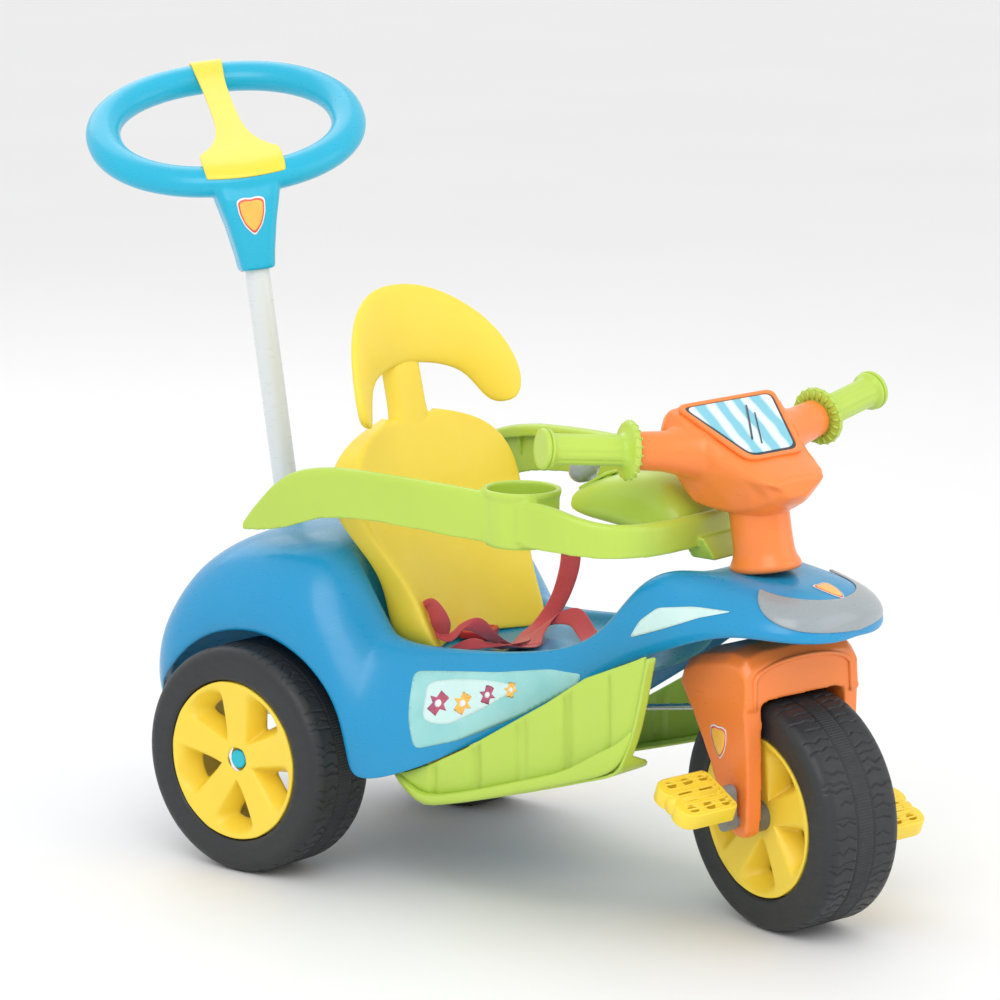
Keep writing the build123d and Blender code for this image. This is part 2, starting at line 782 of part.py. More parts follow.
# ---------------------------------------------------------------- harness, flat on the seat
strap_width = 24.0
strap_thickness = 2.0
strap_z = seat_height + body_gap
with BuildPart() as belt_crotch:
    with BuildSketch(Plane.XY.offset(strap_z)):
        with Locations((330, 0)):
            Rectangle(90, strap_width)
    extrude(amount=strap_thickness)
save(belt_crotch, "belt_crotch")
for side, word in ((-1, "right"), (1, "left")):
    with BuildPart() as belt:
        with BuildSketch(Plane.XY.offset(strap_z)):
            with Locations(Location((196, side * 50, 0), (0, 0, side * 24))):
                Rectangle(130, strap_width)
        extrude(amount=strap_thickness)
    save(belt, f"belt_{word}")
with BuildPart() as belt_buckle:
    with BuildSketch(Plane.XY.offset(strap_z)):
        with Locations((271, 0)):
            RectangleRounded(26, 44, 6)
    extrude(amount=9)
save(belt_buckle, "belt_buckle")

# ================================================================ guard ring, cup holder and console
guard_plan = [
    (-30, guard_half_width - 4),
    (120, guard_half_width + 3),
    (guard_front - 110, guard_half_width - 4),
    (guard_front - 66, guard_half_width - 11),
    (guard_front - 33, guard_half_width - 30),
    (guard_front - 10, guard_half_width - 60),
    (guard_front, guard_half_width - 115),
]
guard_outer = guard_plan + [(x, -y) for x, y in reversed(guard_plan)]
guard_side = [
    (-40, deck_height + 14),
    (60, guard_top + 2),
    (guard_front - 90, guard_top),
    (guard_front + 4, guard_top - 24),
    (guard_front + 4, guard_top - 4 - guard_depth),
    (guard_front - 90, guard_top - guard_depth),
    (60, guard_top - guard_depth + 6),
    (30, deck_height + seat_gap),
    (-40, deck_height + seat_gap),
]
guard_inner = inset(guard_outer, guard_wall)
guard_inner[0] = (-60, guard_inner[0][1])
guard_inner[-1] = (-60, guard_inner[-1][1])
with BuildPart() as cup_block:
    with BuildSketch(Plane.XY.offset(cup_top)):
        with Locations((cup_x, cup_y)):
            Circle(cup_radius + cup_wall)
    extrude(amount=-cup_depth - cup_wall)
with BuildPart() as guard_ring:
    with BuildSketch(lateral(0, 0, 0)):
        Polygon(guard_side, align=None)
    extrude(amount=track, both=True)
    with BuildSketch():
        Polygon(guard_outer, align=None)
        Polygon(guard_inner, align=None, mode=Mode.SUBTRACT)
    extrude(amount=2 * guard_top, mode=Mode.INTERSECT)
    add(cup_block.part)
    with BuildSketch(Plane.XY.offset(cup_top)):
        with Locations((cup_x, cup_y)):
            Circle(cup_radius)
    extrude(amount=-cup_depth, mode=Mode.SUBTRACT)
save(guard_ring, "guard_ring")

console_side = [
    (guard_front - 172, guard_top - 34),
    (guard_front - 140, guard_top - 10),
    (guard_front - 100, guard_top + 7),
    (guard_front - 55, guard_top + 11),
    (guard_front - 38, guard_top + 2),
    (guard_front - guard_wall - seat_gap, guard_top - 24),
    (guard_front - guard_wall - seat_gap, guard_top - guard_depth),
    (guard_front - 30, nose_height + 1),
    (guard_front - 74, nose_height + 1),
    (guard_front - 110, guard_top - guard_depth),
]
lever_pivot = Vector(guard_front - 135, 0, guard_top - 25)
lever_axis = Vector(-0.72, 0, 0.69)
lever_slot = lever_pivot + lever_axis * 14
with BuildPart() as console:
    with BuildSketch(lateral(0, 0, 0)):
        Polygon(console_side, align=None)
    extrude(amount=console_half, both=True)
    with BuildSketch(lateral(0, 0, 0)):
        Polygon(inset(console_side, wall), align=None)
    extrude(amount=console_half - wall, both=True, mode=Mode.SUBTRACT)
    with BuildSketch(Plane(origin=lever_slot, x_dir=(0.8, 0, 0.6), z_dir=(-0.6, 0, 0.8))):
        Rectangle(lever_slot_length, lever_slot_width)
    extrude(amount=14, both=True, mode=Mode.SUBTRACT)
save(console, "console")

with BuildPart() as gear_lever:
    with BuildSketch(Plane(origin=lever_pivot, x_dir=(0, 1, 0), z_dir=lever_axis)):
        Circle(lever_radius)
    extrude(amount=lever_length)
    with BuildSketch(lateral(*lever_pivot)):
        Circle(lever_radius + 1.5)
    extrude(amount=7, both=True)
    with Locations(Location(lever_pivot + lever_axis * lever_length)):
        Sphere(knob_radius)
save(gear_lever, "gear_lever")

# ================================================================ footrests
foot_seat = 0.4  # below the shell's edge
foot_side = [
    (166, wheel_radius + 3),
    (204, wheel_radius - 20),
    (432, wheel_radius + 42),
    (446, wheel_radius + 82),
    (462, wheel_radius + 112),
    (470, wheel_radius + 160),
    (wheelbase - 92, nose_height - 76 - foot_seat),
    (cockpit_front - 18, nose_height - 98 - foot_seat),
    (cockpit_front - 65, nose_height - 130 - foot_seat),
    (304, wheel_radius + 75 - foot_seat),
    (252, wheel_radius + 43 - foot_seat),
    (187, wheel_radius + 9 - foot_seat),
]
foot_inner = 104.0
foot_outer = foot_inner + footrest_width
for side, word in ((-1, "right"), (1, "left")):
    with BuildPart() as footrest:
        with BuildSketch(lateral(0, side * foot_inner, 0)):
            Polygon(foot_side, align=None)
        extrude(amount=-side * footrest_width)
        with BuildSketch(lateral(0, side * (foot_inner - wall), 0)):
            # open upwards and forwards
            with Locations((0, 14), (40, 20)):
                Polygon(inset(foot_side, wall), align=None)
            Polygon(inset(foot_side, wall), align=None)
        extrude(amount=-side * footrest_width, mode=Mode.SUBTRACT)
    save(footrest, f"footrest_{word}")

# ================================================================ push bar
with BuildPart() as push_tube:
    with BuildSketch(push_plane):
        Circle(push_tube_radius)
        Circle(push_tube_radius - push_tube_wall, mode=Mode.SUBTRACT)
    extrude(amount=push_tube_length)
save(push_tube, "push_tube", pushed)

link_spot = Vector(-link_back, -link_side)
with BuildPart() as push_arm:
    with BuildSketch(push_plane.offset(push_arm_rise)):
        with Locations(link_spot):
            Circle(9)
        with Locations(Location(link_spot / 2, (0, 0, degrees(atan2(link_side, link_back))))):
            Rectangle(link_spot.length, 16)
        Circle(push_tube_radius + 4)
        Circle(push_tube_radius + seat_gap, mode=Mode.SUBTRACT)
        with Locations(link_spot):
            Circle(link_radius + link_pivot_gap, mode=Mode.SUBTRACT)
    extrude(amount=push_arm_thickness)
save(push_arm, "push_arm", pushed)
tube_top = push_tube_length
with BuildPart() as tube_collar:
    with BuildSketch(push_plane.offset(tube_top - 78)):
        Circle(push_tube_radius + 4)
        Circle(push_tube_radius + seat_gap, mode=Mode.SUBTRACT)
    extrude(amount=7)
save(tube_collar, "tube_collar", handled)

# oval ring of four arcs, its front over the tube, its rear raised
end_radius = ring_half_depth - 11
end_shift = ring_half_width - end_radius
side_radius = (end_radius**2 - ring_half_depth**2 - end_shift**2) / (2 * (end_radius - ring_half_depth))
side_shift = side_radius - ring_half_depth
meet = Vector(side_shift, end_shift).normalized()
meet_x = meet.X * side_radius - side_shift
meet_y = meet.Y * side_radius
ring_front = Plane(push_plane.offset(tube_top + 16).origin, x_dir=(1, 0, 0), z_dir=(0, 0, 1))
ring_axis_tilt = radians(ring_tilt)
ring_plane = Plane(
    origin=ring_front.origin
    + Vector(-ring_half_depth * cos(ring_axis_tilt), 0, ring_half_depth * sin(ring_axis_tilt)),
    x_dir=(cos(ring_axis_tilt), 0, -sin(ring_axis_tilt)),
    z_dir=(sin(ring_axis_tilt), 0, cos(ring_axis_tilt)),
)
with BuildPart() as handle_ring:
    with BuildLine(ring_plane) as ring_path:
        ThreePointArc((meet_x, -meet_y), (ring_half_depth, 0), (meet_x, meet_y))
        ThreePointArc((meet_x, meet_y), (0, ring_half_width), (-meet_x, meet_y))
        ThreePointArc((-meet_x, meet_y), (-ring_half_depth, 0), (-meet_x, -meet_y))
        ThreePointArc((-meet_x, -meet_y), (0, -ring_half_width), (meet_x, -meet_y))
    with BuildSketch(Plane(ring_path.line @ 0, x_dir=ring_plane.z_dir, z_dir=ring_path.line % 0)):
        Circle(ring_section)
    sweep(path=ring_path.line)
    # neck down to the tube
    with BuildSketch(push_plane.offset(tube_top - 70)):
        RectangleRounded(38, 36, 12)
    with BuildSketch(push_plane.offset(tube_top + 8)):
        RectangleRounded(34, 68, 12)
    loft()
    with BuildSketch(push_plane.offset(tube_top - 80)):
        Circle(push_tube_radius + seat_gap)
    extrude(amount=80.5, mode=Mode.SUBTRACT)
save(handle_ring, "handle_ring", handled)

# flat bridge over the ring, draped on the front and clipped round the rear
bridge_gap = 1.0
bridge_thickness = 3.0
with BuildPart() as handle_bridge:
    with BuildSketch(ring_plane.offset(ring_section + bridge_gap)):
        with BuildLine():
            Polyline(
                (-ring_half_depth - 4, -16),
                (-ring_half_depth + 30, -13),
                (ring_half_depth - 70, -14),
                (ring_half_depth - 34, -26),
                (ring_half_depth - 12, -42),
                (ring_half_depth + 8, -42),
                (ring_half_depth + 8, 42),
                (ring_half_depth - 12, 42),
                (ring_half_depth - 34, 26),
                (ring_half_depth - 70, 14),
                (-ring_half_depth + 30, 13),
                (-ring_half_depth - 4, 16),
                close=True,
            )
        make_face()
    extrude(amount=bridge_thickness)
    clip_plane = Plane(origin=ring_plane.origin, x_dir=ring_plane.x_dir, z_dir=-ring_plane.y_dir)
    with BuildSketch(clip_plane) as clip:
        with Locations((-ring_half_depth, 0)):
            Circle(ring_section + bridge_gap + bridge_thickness)
            Circle(ring_section + bridge_gap, mode=Mode.SUBTRACT)
            with Locations((ring_section / 2 + 8, -ring_section)):
                Rectangle(ring_section + 16, 2 * ring_section, mode=Mode.SUBTRACT)
    extrude(amount=16, both=True)
save(handle_bridge, "handle_bridge", handled)

# bag hook, a flat band curving down and back from the neck
hook_plane = Plane(origin=push_plane.offset(tube_top - 20).origin, x_dir=push_plane.x_dir, z_dir=(0, -1, 0))
with BuildPart() as bag_hook:
    with BuildSketch(hook_plane):
        with Locations((-52, 0)):
            Circle(25)
            Circle(21, mode=Mode.SUBTRACT)
            Rectangle(40, 60, align=(Align.MIN, Align.CENTER), mode=Mode.SUBTRACT)
        for height, seat in ((-23, 18.6), (23, 17.7)):
            with Locations((-seat, height)):
                Rectangle(52 - seat, 4, align=(Align.MAX, Align.CENTER))
    extrude(amount=14, both=True)
save(bag_hook, "bag_hook", handled)

# ================================================================ link rod, from the push arm to the fork
to_pin = push_plane.x_dir * -link_back + Vector(0, -link_side, 0)
front_pin = axis_plane(link_height).offset(-link_drop).origin + to_pin
rear_pin = push_plane.offset(push_arm_rise - link_drop).origin + to_pin
run = front_pin - rear_pin
with BuildPart() as link_rod:
    with BuildSketch(Plane(origin=rear_pin, z_dir=run)):
        Circle(link_radius)
    extrude(amount=run.length)
    for foot in (front_pin, rear_pin):
        with BuildSketch(Plane(origin=foot, z_dir=up_axis)):
            Circle(link_radius)
        extrude(amount=link_drop + link_pin_grip)
        with Locations(Location(foot)):
            Sphere(link_radius)
arm_rest = steered * Location(front_pin)
rod_shift = Location(arm_rest.position - front_pin)
save(link_rod, "link_rod", rod_shift)

# ================================================================ fasteners
def screws(name, places, radius=4.5, length=1.8, place=None):
    """Low domed screw heads, each on its own plane."""
    with BuildPart() as heads:
        for plane in places:
            with BuildSketch(plane.offset(seat_gap)):
                Circle(radius)
            extrude(amount=length)
    save(heads, name, place)


screws(
    "cowl_screws",
    [
        Plane(origin=(wheelbase - 126, side * 45, 463), x_dir=(0, 1, 0), z_dir=(-34, 0, -4))
        for side in (-1, 1)
    ],
    place=steered,
)
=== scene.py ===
import json
import random
from math import atan2, cos, pi, radians, sin, sqrt, tan

import bmesh
import bpy
from mathutils import Matrix, Vector
from mathutils.bvhtree import BVHTree


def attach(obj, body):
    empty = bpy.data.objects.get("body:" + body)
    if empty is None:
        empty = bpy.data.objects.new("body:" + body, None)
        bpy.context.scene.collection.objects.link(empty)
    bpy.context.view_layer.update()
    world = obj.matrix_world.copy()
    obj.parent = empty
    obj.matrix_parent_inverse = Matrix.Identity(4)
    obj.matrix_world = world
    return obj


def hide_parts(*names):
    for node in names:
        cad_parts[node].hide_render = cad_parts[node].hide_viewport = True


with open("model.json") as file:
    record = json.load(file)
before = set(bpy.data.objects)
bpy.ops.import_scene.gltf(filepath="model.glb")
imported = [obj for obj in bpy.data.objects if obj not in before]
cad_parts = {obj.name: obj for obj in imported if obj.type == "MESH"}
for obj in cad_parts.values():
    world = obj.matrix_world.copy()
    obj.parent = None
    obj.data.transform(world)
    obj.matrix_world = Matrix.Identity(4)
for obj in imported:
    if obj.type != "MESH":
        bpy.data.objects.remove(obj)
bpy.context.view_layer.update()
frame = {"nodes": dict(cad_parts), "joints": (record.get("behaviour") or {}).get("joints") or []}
nodes = frame["nodes"]
joints = {joint["name"]: joint for joint in frame["joints"]}
print("frame loaded:", len(nodes), "nodes")

# lengths below are in millimetres, and the mesh builders turn them into metres
mm = 0.001
wheelbase = 540.0
rake = 10.0
lean = tan(radians(rake))
steerHeight = 246

# camera and light
camera = dict(target=(173.3, 0, 371.9), azimuth=38.56, elevation=11.12, distance=4682.7, roll=0.48,
    lens=168.6)
light = dict(world=0.95, key=36, fill=12, rim=16, size=2.2)


def makeCamera():
    az, el, roll = (radians(camera[key]) for key in ("azimuth", "elevation", "roll"))
    away = Vector((cos(el) * sin(az), -cos(el) * cos(az), sin(el)))
    right = Vector((cos(az), sin(az), 0))
    up = away.cross(right)
    right, up = right * cos(roll) + up * sin(roll), up * cos(roll) - right * sin(roll)
    data = bpy.data.cameras.new("camera")
    data.lens = camera["lens"]
    data.sensor_width = 36
    data.clip_end = 50
    obj = bpy.data.objects.new("camera", data)
    bpy.context.scene.collection.objects.link(obj)
    place = Matrix((right, up, away)).transposed().to_4x4()
    place.translation = (Vector(camera["target"]) + away * camera["distance"]) * mm
    obj.matrix_world = place
    bpy.context.scene.camera = obj


def areaLight(name, spot, aim, power, size):
    data = bpy.data.lights.new(name, "AREA")
    data.energy = power
    data.size = size
    obj = bpy.data.objects.new(name, data)
    obj.location = spot
    obj.rotation_euler = (Vector(aim) - Vector(spot)).to_track_quat("-Z", "Y").to_euler()
    bpy.context.scene.collection.objects.link(obj)


def makeStudio():
    world = bpy.data.worlds.new("studio")
    bpy.context.scene.world = world
    world.use_nodes = True
    world.node_tree.nodes["Background"].inputs["Color"].default_value = (1, 1, 1, 1)
    world.node_tree.nodes["Background"].inputs["Strength"].default_value = light["world"]
    areaLight("key", (1.6, -2.2, 2.6), (0.2, 0, 0.3), light["key"], light["size"])
    areaLight("fill", (2.8, 1.2, 1.4), (0.2, 0, 0.3), light["fill"], light["size"])
    areaLight("rim", (-2.0, 1.0, 2.4), (0.1, 0, 0.4), light["rim"], light["size"])
    bpy.context.scene.view_settings.view_transform = "Standard"
    mesh = bpy.data.meshes.new("floor")
    mesh.from_pydata([(-9, -9, 0), (9, -9, 0), (9, 9, 0), (-9, 9, 0)], [], [(0, 1, 2, 3)])
    floor = bpy.data.objects.new("floor", mesh)
    bpy.context.scene.collection.objects.link(floor)
    mesh.materials.append(floorPaint())


# materials
def newMaterial(name):
    material = bpy.data.materials.new(name)
    material.use_nodes = True
    tree = material.node_tree
    return material, tree, tree.nodes["Principled BSDF"]


def link(tree, source, out, target, socket):
    tree.links.new(source.outputs[out], target.inputs[socket])


def noiseNode(tree, scale, detail=3.0, rough=0.5, stretch=None):
    coords = tree.nodes.new("ShaderNodeTexCoord")
    tex = tree.nodes.new("ShaderNodeTexNoise")
    tex.inputs["Scale"].default_value = scale
    tex.inputs["Detail"].default_value = detail
    tex.inputs["Roughness"].default_value = rough
    if stretch:
        mapping = tree.nodes.new("ShaderNodeMapping")
        mapping.inputs["Scale"].default_value = stretch
        link(tree, coords, "Object", mapping, "Vector")
        link(tree, mapping, "Vector", tex, "Vector")
    else:
        link(tree, coords, "Object", tex, "Vector")
    return tex


def mapRange(tree, source, out, low, high, fromLow=0.0, fromHigh=1.0):
    node = tree.nodes.new("ShaderNodeMapRange")
    node.inputs["From Min"].default_value = fromLow
    node.inputs["From Max"].default_value = fromHigh
    node.inputs["To Min"].default_value = low
    node.inputs["To Max"].default_value = high
    link(tree, source, out, node, "Value")
    return node


def mixColour(tree, low, high, factor, out):
    node = tree.nodes.new("ShaderNodeMix")
    node.data_type = "RGBA"
    node.inputs["A"].default_value = (*low, 1)
    node.inputs["B"].default_value = (*high, 1)
    tree.links.new(factor.outputs[out], node.inputs["Factor"])
    return node


def shade(colour, amount):
    return tuple(min(1, channel * amount) for channel in colour)


def plastic(name, colour, roughness=0.32, coat=0.15, mottle=0.06, grain=0.12, wear=0.1, grainScale=900):
    # moulded plastic: faint flow mottling, a fine spark-eroded grain and lighter rubbed edges
    material, tree, shader = newMaterial(name)
    flow = noiseNode(tree, 14, 4)
    body = mixColour(tree, shade(colour, 1 - mottle), shade(colour, 1 + mottle), flow, "Fac")
    geometry = tree.nodes.new("ShaderNodeNewGeometry")
    scratch = noiseNode(tree, 60, 6, 0.7, (1, 1, 3))
    edge = mapRange(tree, geometry, "Pointiness", 0, wear, 0.53, 0.62)
    rubbed = tree.nodes.new("ShaderNodeMath")
    rubbed.operation = "MULTIPLY"
    link(tree, edge, "Result", rubbed, 0)
    link(tree, scratch, "Fac", rubbed, 1)
    worn = tree.nodes.new("ShaderNodeMix")
    worn.data_type = "RGBA"
    link(tree, rubbed, "Value", worn, "Factor")
    tree.links.new(body.outputs["Result"], worn.inputs["A"])
    worn.inputs["B"].default_value = (*[min(1, c * 0.6 + 0.4) for c in colour], 1)
    tree.links.new(worn.outputs["Result"], shader.inputs["Base Color"])
    rough = mapRange(tree, scratch, "Fac", roughness * 0.8, roughness * 1.25, 0.3, 0.7)
    link(tree, rough, "Result", shader, "Roughness")
    fine = noiseNode(tree, grainScale, 2)
    bump = tree.nodes.new("ShaderNodeBump")
    bump.inputs["Strength"].default_value = grain
    bump.inputs["Distance"].default_value = 0.0002
    link(tree, fine, "Fac", bump, "Height")
    link(tree, bump, "Normal", shader, "Normal")
    shader.inputs["Coat Weight"].default_value = coat
    shader.inputs["Coat Roughness"].default_value = 0.12
    shader.inputs["IOR"].default_value = 1.49
    return material


def floorPaint():
    material, tree, shader = newMaterial("floorPaint")
    cloud = noiseNode(tree, 1.5)
    tone = mixColour(tree, (0.86, 0.86, 0.86), (0.9, 0.9, 0.9), cloud, "Fac")
    tree.links.new(tone.outputs["Result"], shader.inputs["Base Color"])
    shader.inputs["Roughness"].default_value = 0.6
    return material


def metal(name, colour, roughness, stretch=(1, 1, 40)):
    # drawn or plated steel with fine draw lines
    material, tree, shader = newMaterial(name)
    lines = noiseNode(tree, 90, 5, 0.6, stretch)
    tone = mixColour(tree, shade(colour, 0.82), shade(colour, 1.12), lines, "Fac")
    tree.links.new(tone.outputs["Result"], shader.inputs["Base Color"])
    rough = mapRange(tree, lines, "Fac", roughness * 0.7, roughness * 1.4, 0.3, 0.7)
    link(tree, rough, "Result", shader, "Roughness")
    bump = tree.nodes.new("ShaderNodeBump")
    bump.inputs["Strength"].default_value = 0.08
    bump.inputs["Distance"].default_value = 0.0002
    link(tree, lines, "Fac", bump, "Height")
    link(tree, bump, "Normal", shader, "Normal")
    shader.inputs["Metallic"].default_value = 1.0
    return material


bodyBlue = plastic("bodyBlue", (0.003, 0.28, 0.56), 0.3)
handleBlue = plastic("handleBlue", (0.004, 0.44, 0.66), 0.3)
seatYellow = plastic("seatYellow", (0.93, 0.69, 0.055), 0.42, 0.12)
trimYellow = plastic("trimYellow", (0.95, 0.70, 0.05), 0.36)
rimYellow = plastic("rimYellow", (0.90, 0.66, 0.05), 0.38)
limeGreen = plastic("limeGreen", (0.47, 0.65, 0.08), 0.36)
orangePaint = plastic("orangePlastic", (0.93, 0.24, 0.045), 0.32)
silverPaint = plastic("silverPlastic", (0.30, 0.34, 0.36), 0.28, 0.4, mottle=0.1)
hubCyan = plastic("hubCyan", (0.005, 0.48, 0.62), 0.3)
tyreBlack = plastic("tyreBlack", (0.019, 0.021, 0.023), 0.48, 0.04, mottle=0.18, grain=0.3, wear=0.04)
greyPlastic = plastic("greyPlastic", (0.14, 0.14, 0.12), 0.45, 0.05)
crankGrey = plastic("crankGrey", (0.22, 0.24, 0.25), 0.35)
zincSteel = metal("zincSteel", (0.62, 0.63, 0.64), 0.28)
tubeWhite = plastic("tubeWhite", (0.70, 0.73, 0.74), 0.3, 0.5, mottle=0.03)
screwSteel = metal("screwSteel", (0.5, 0.5, 0.52), 0.35, (1, 1, 1))


# placing: pieces are modelled with the front straight ahead, then turned to rest
def turnAbout(joint, angle):
    pivot = Vector(joints[joint]["pos_m"])
    turn = Matrix.Rotation(radians(angle), 4, Vector(joints[joint]["axis"]))
    return Matrix.Translation(pivot) @ turn @ Matrix.Translation(-pivot)


restTurn = -17
handleTurn = -23
steered = turnAbout("steer", restTurn)
handled = turnAbout("push_bar_turn", restTurn + handleTurn)


def newPiece(name, verts, faces, material, body, replaced=(), place=None, smooth=True):
    mesh = bpy.data.meshes.new(name)
    mesh.from_pydata([Vector(v) * mm for v in verts], [], faces)
    mesh.validate()
    if place is not None:
        mesh.transform(place)
    work = bmesh.new()
    work.from_mesh(mesh)
    bmesh.ops.remove_doubles(work, verts=work.verts, dist=0.00002)
    bmesh.ops.recalc_face_normals(work, faces=work.faces)
    work.to_mesh(mesh)
    work.free()
    for face in mesh.polygons:
        face.use_smooth = smooth
    mesh.materials.append(material)
    obj = bpy.data.objects.new(name, mesh)
    bpy.context.scene.collection.objects.link(obj)
    if replaced:
        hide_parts(*replaced)
    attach(obj, body)
    return obj


def thicken(obj, thickness, offset=-1.0):
    modifier = obj.modifiers.new("wall", "SOLIDIFY")
    modifier.thickness = thickness * mm
    modifier.offset = offset
    modifier.use_even_offset = True
    return modifier


def soften(obj, levels=2):
    modifier = obj.modifiers.new("smooth", "SUBSURF")
    modifier.levels = levels
    modifier.render_levels = levels
    return modifier


def gridFaces(rows, count, closed=False, skip=None):
    faces = []
    around = count if closed else count - 1
    for i in range(rows - 1):
        for j in range(around):
            if skip and skip(i, j):
                continue
            k = (j + 1) % count
            faces.append((i * count + j, i * count + k, (i + 1) * count + k, (i + 1) * count + j))
    return faces


def skin(rows, closed=False, caps=False, skip=None):
    count = len(rows[0])
    verts = [point for row in rows for point in row]
    faces = gridFaces(len(rows), count, closed, skip)
    if caps:
        faces.append(tuple(range(count)))
        faces.append(tuple(range((len(rows) - 1) * count, len(rows) * count)))
    return verts, faces


def turned(profile, centre, axis, steps=96):
    # profile of (along, radius) pairs turned about an axis through centre
    axis = Vector(axis).normalized()
    side = axis.orthogonal().normalized()
    other = axis.cross(side)
    rows = []
    for along, radius in profile:
        rows.append(
            [
                Vector(centre) + axis * along + (side * cos(a) + other * sin(a)) * radius
                for a in (2 * pi * k / steps for k in range(steps))
            ]
        )
    return skin(rows, closed=True)


def joined(parts):
    verts, faces = [], []
    for v, f in parts:
        base = len(verts)
        verts += list(v)
        faces += [tuple(i + base for i in face) for face in f]
    return verts, faces


def repaint(names, material):
    for name in names:
        slots = nodes[name].data.materials
        slots.clear()
        slots.append(material)


makeCamera()
makeStudio()
print("camera, light and materials made")


# wheels
tyre = dict(radius=115.0, shoulder=13.0, seat=81.0, groove=2.2, ribs=230, band=11.0, cracks=64, seed=7)
rim = dict(spokes=5, lip=80.6, hub=17.0, cap=9.5, dish=7.0, sink=24.0)
axleHeight = 115.0
frontAxle = Vector(joints["front_wheel_spin"]["pos_m"]) / mm


def crackLines(width, rng):
    # zig-zag grooves running in from each shoulder to the centre band, as (angle, across) points
    lines = []
    for side in (-1, 1):
        for k in range(tyre["cracks"]):
            angle = 2 * pi * (k + rng.uniform(-0.25, 0.25)) / tyre["cracks"]
            start, end = tyre["band"] + 2, width / 2 - 3
            knots = [start]
            while knots[-1] < end:
                knots.append(knots[-1] + rng.uniform(5, 10))
            points = []
            for n, across in enumerate(knots):
                points.append((angle + rng.uniform(-1, 1) * 0.016 + (0.012 if n % 2 else -0.012),
                    side * across))
            lines.append(points[: rng.randint(3, max(3, len(points)))])
    return lines


def grooveDepth(theta, across, lines):
    best = 9.0
    for points in lines:
        if abs((theta - points[0][0] + pi) % (2 * pi) - pi) > 0.08:
            continue
        for (a0, w0), (a1, w1) in zip(points, points[1:]):
            low, high = min(w0, w1), max(w0, w1)
            if across < low - 1 or across > high + 1:
                continue
            share = (across - w0) / (w1 - w0)
            line = a0 + (a1 - a0) * min(1, max(0, share))
            gap = abs((theta - line + pi) % (2 * pi) - pi) * tyre["radius"]
            best = min(best, gap)
    return max(0.0, 1 - best / 1.1)


def makeTyre(name, centre, width, node, body, place, seed):
    half = width / 2
    rng = random.Random(seed)
    lines = crackLines(width, rng)
    outer, sh = tyre["radius"], tyre["shoulder"]
    profile = [(-half + 6, tyre["seat"]), (-half + 1.5, tyre["seat"] + 1), (-half, tyre["seat"] + 4)]
    profile += [(-half, 88), (-half, 94), (-half, outer - sh)]
    profile += [(-half + sh * (1 - cos(a)), outer - sh + sh * sin(a))
        for a in (radians(d) for d in range(12, 85, 12))]
    treadStart = len(profile)
    flat = half - sh
    count = 38
    profile += [(-flat + 2 * flat * k / count, outer) for k in range(count + 1)]
    treadEnd = len(profile)
    profile += [(-x, r) for x, r in reversed(profile[:treadStart])]
    steps = 720
    rows = []
    for index, (across, radius) in enumerate(profile):
        row = []
        for k in range(steps):
            theta = 2 * pi * k / steps
            r = radius
            if treadStart - 3 <= index < treadEnd + 3:
                if abs(across) < tyre["band"]:
                    r -= 1.4 if abs(across) > tyre["band"] - 2 else 0.9 * (k % 3 == 0)
                else:
                    r -= tyre["groove"] * grooveDepth(theta, across, lines)
            row.append((centre[0] + r * cos(theta), centre[1] + across, centre[2] + r * sin(theta)))
        rows.append(row)
    inner = [(x, tyre["seat"]) for x in (half - 6, -half + 6)]
    for across, radius in inner:
        row = []
        for k in range(steps):
            theta = 2 * pi * k / steps
            row.append((centre[0] + radius * cos(theta), centre[1] + across,
                centre[2] + radius * sin(theta)))
        rows.append(row)
    rows.append(rows[0])
    verts, faces = skin(rows, closed=True)
    return newPiece(name, verts, faces, tyreBlack, body, (node,), place)


def rimSector():
    # one half of a 72 degree sector: rows run out along the radius, and columns run
    # from the middle of a window to the middle of a spoke
    half = radians(180 / rim["spokes"])
    rows = []
    for r, opened in ((12, 0), (17, 0), (21, 0), (25, 0.25), (30, 0.6), (36, 1), (46, 1), (56, 1), (63, 1),
        (68, 0.62),
                     (73, 0.2), (76.5, 0), (79, 0), (rim["lip"], 0)):
        wide = max(0.0, (r - 20) * 0.56)
        hole = max(0.0, wide - 11) if r < 64 else max(0.0, wide - 11) * max(0, (76 - r) / 12)
        dish = rim["dish"] * max(0, 1 - (r / 76) ** 2)
        sink = rim["sink"] * opened
        row = []
        for offset, deep in ((0, 1), (hole, 1), ((hole + wide) / 2, 0.55), (wide, 0.04)):
            angle = min(half, atan2(offset, r))
            row.append((r, angle, dish + sink * deep))
        edge = atan2(wide, r)
        for share in (0.18, 1.0):
            row.append((r, edge + (half - edge) * share, dish))
        rows.append(row)
    rows.append([(rim["lip"], angle, 5.0) for _, angle, _ in rows[-1]])
    return rows


def makeRim(name, centre, width, outwards, node, body, place):
    parts = []
    for out in outwards:
        face = width / 2 - 1.0
        for spoke in range(rim["spokes"]):
            middle = radians(90 + 36 + 72 * spoke)
            for mirror in (-1, 1):
                rows = []
                for row in rimSector():
                    rows.append(
                        [
                            (
                                centre[0] + r * cos(middle + mirror * angle),
                                centre[1] + out * (face - depth),
                                centre[2] + r * sin(middle + mirror * angle),
                            )
                            for r, angle, depth in row
                        ]
                    )
                parts.append(skin(rows, skip=lambda i, j: j == 0 and 5 <= i < 8))
    verts, faces = joined(parts)
    obj = newPiece(name, verts, faces, rimYellow, body, (node,), place)
    thicken(obj, 3, -1)
    soften(obj, 2)
    return obj


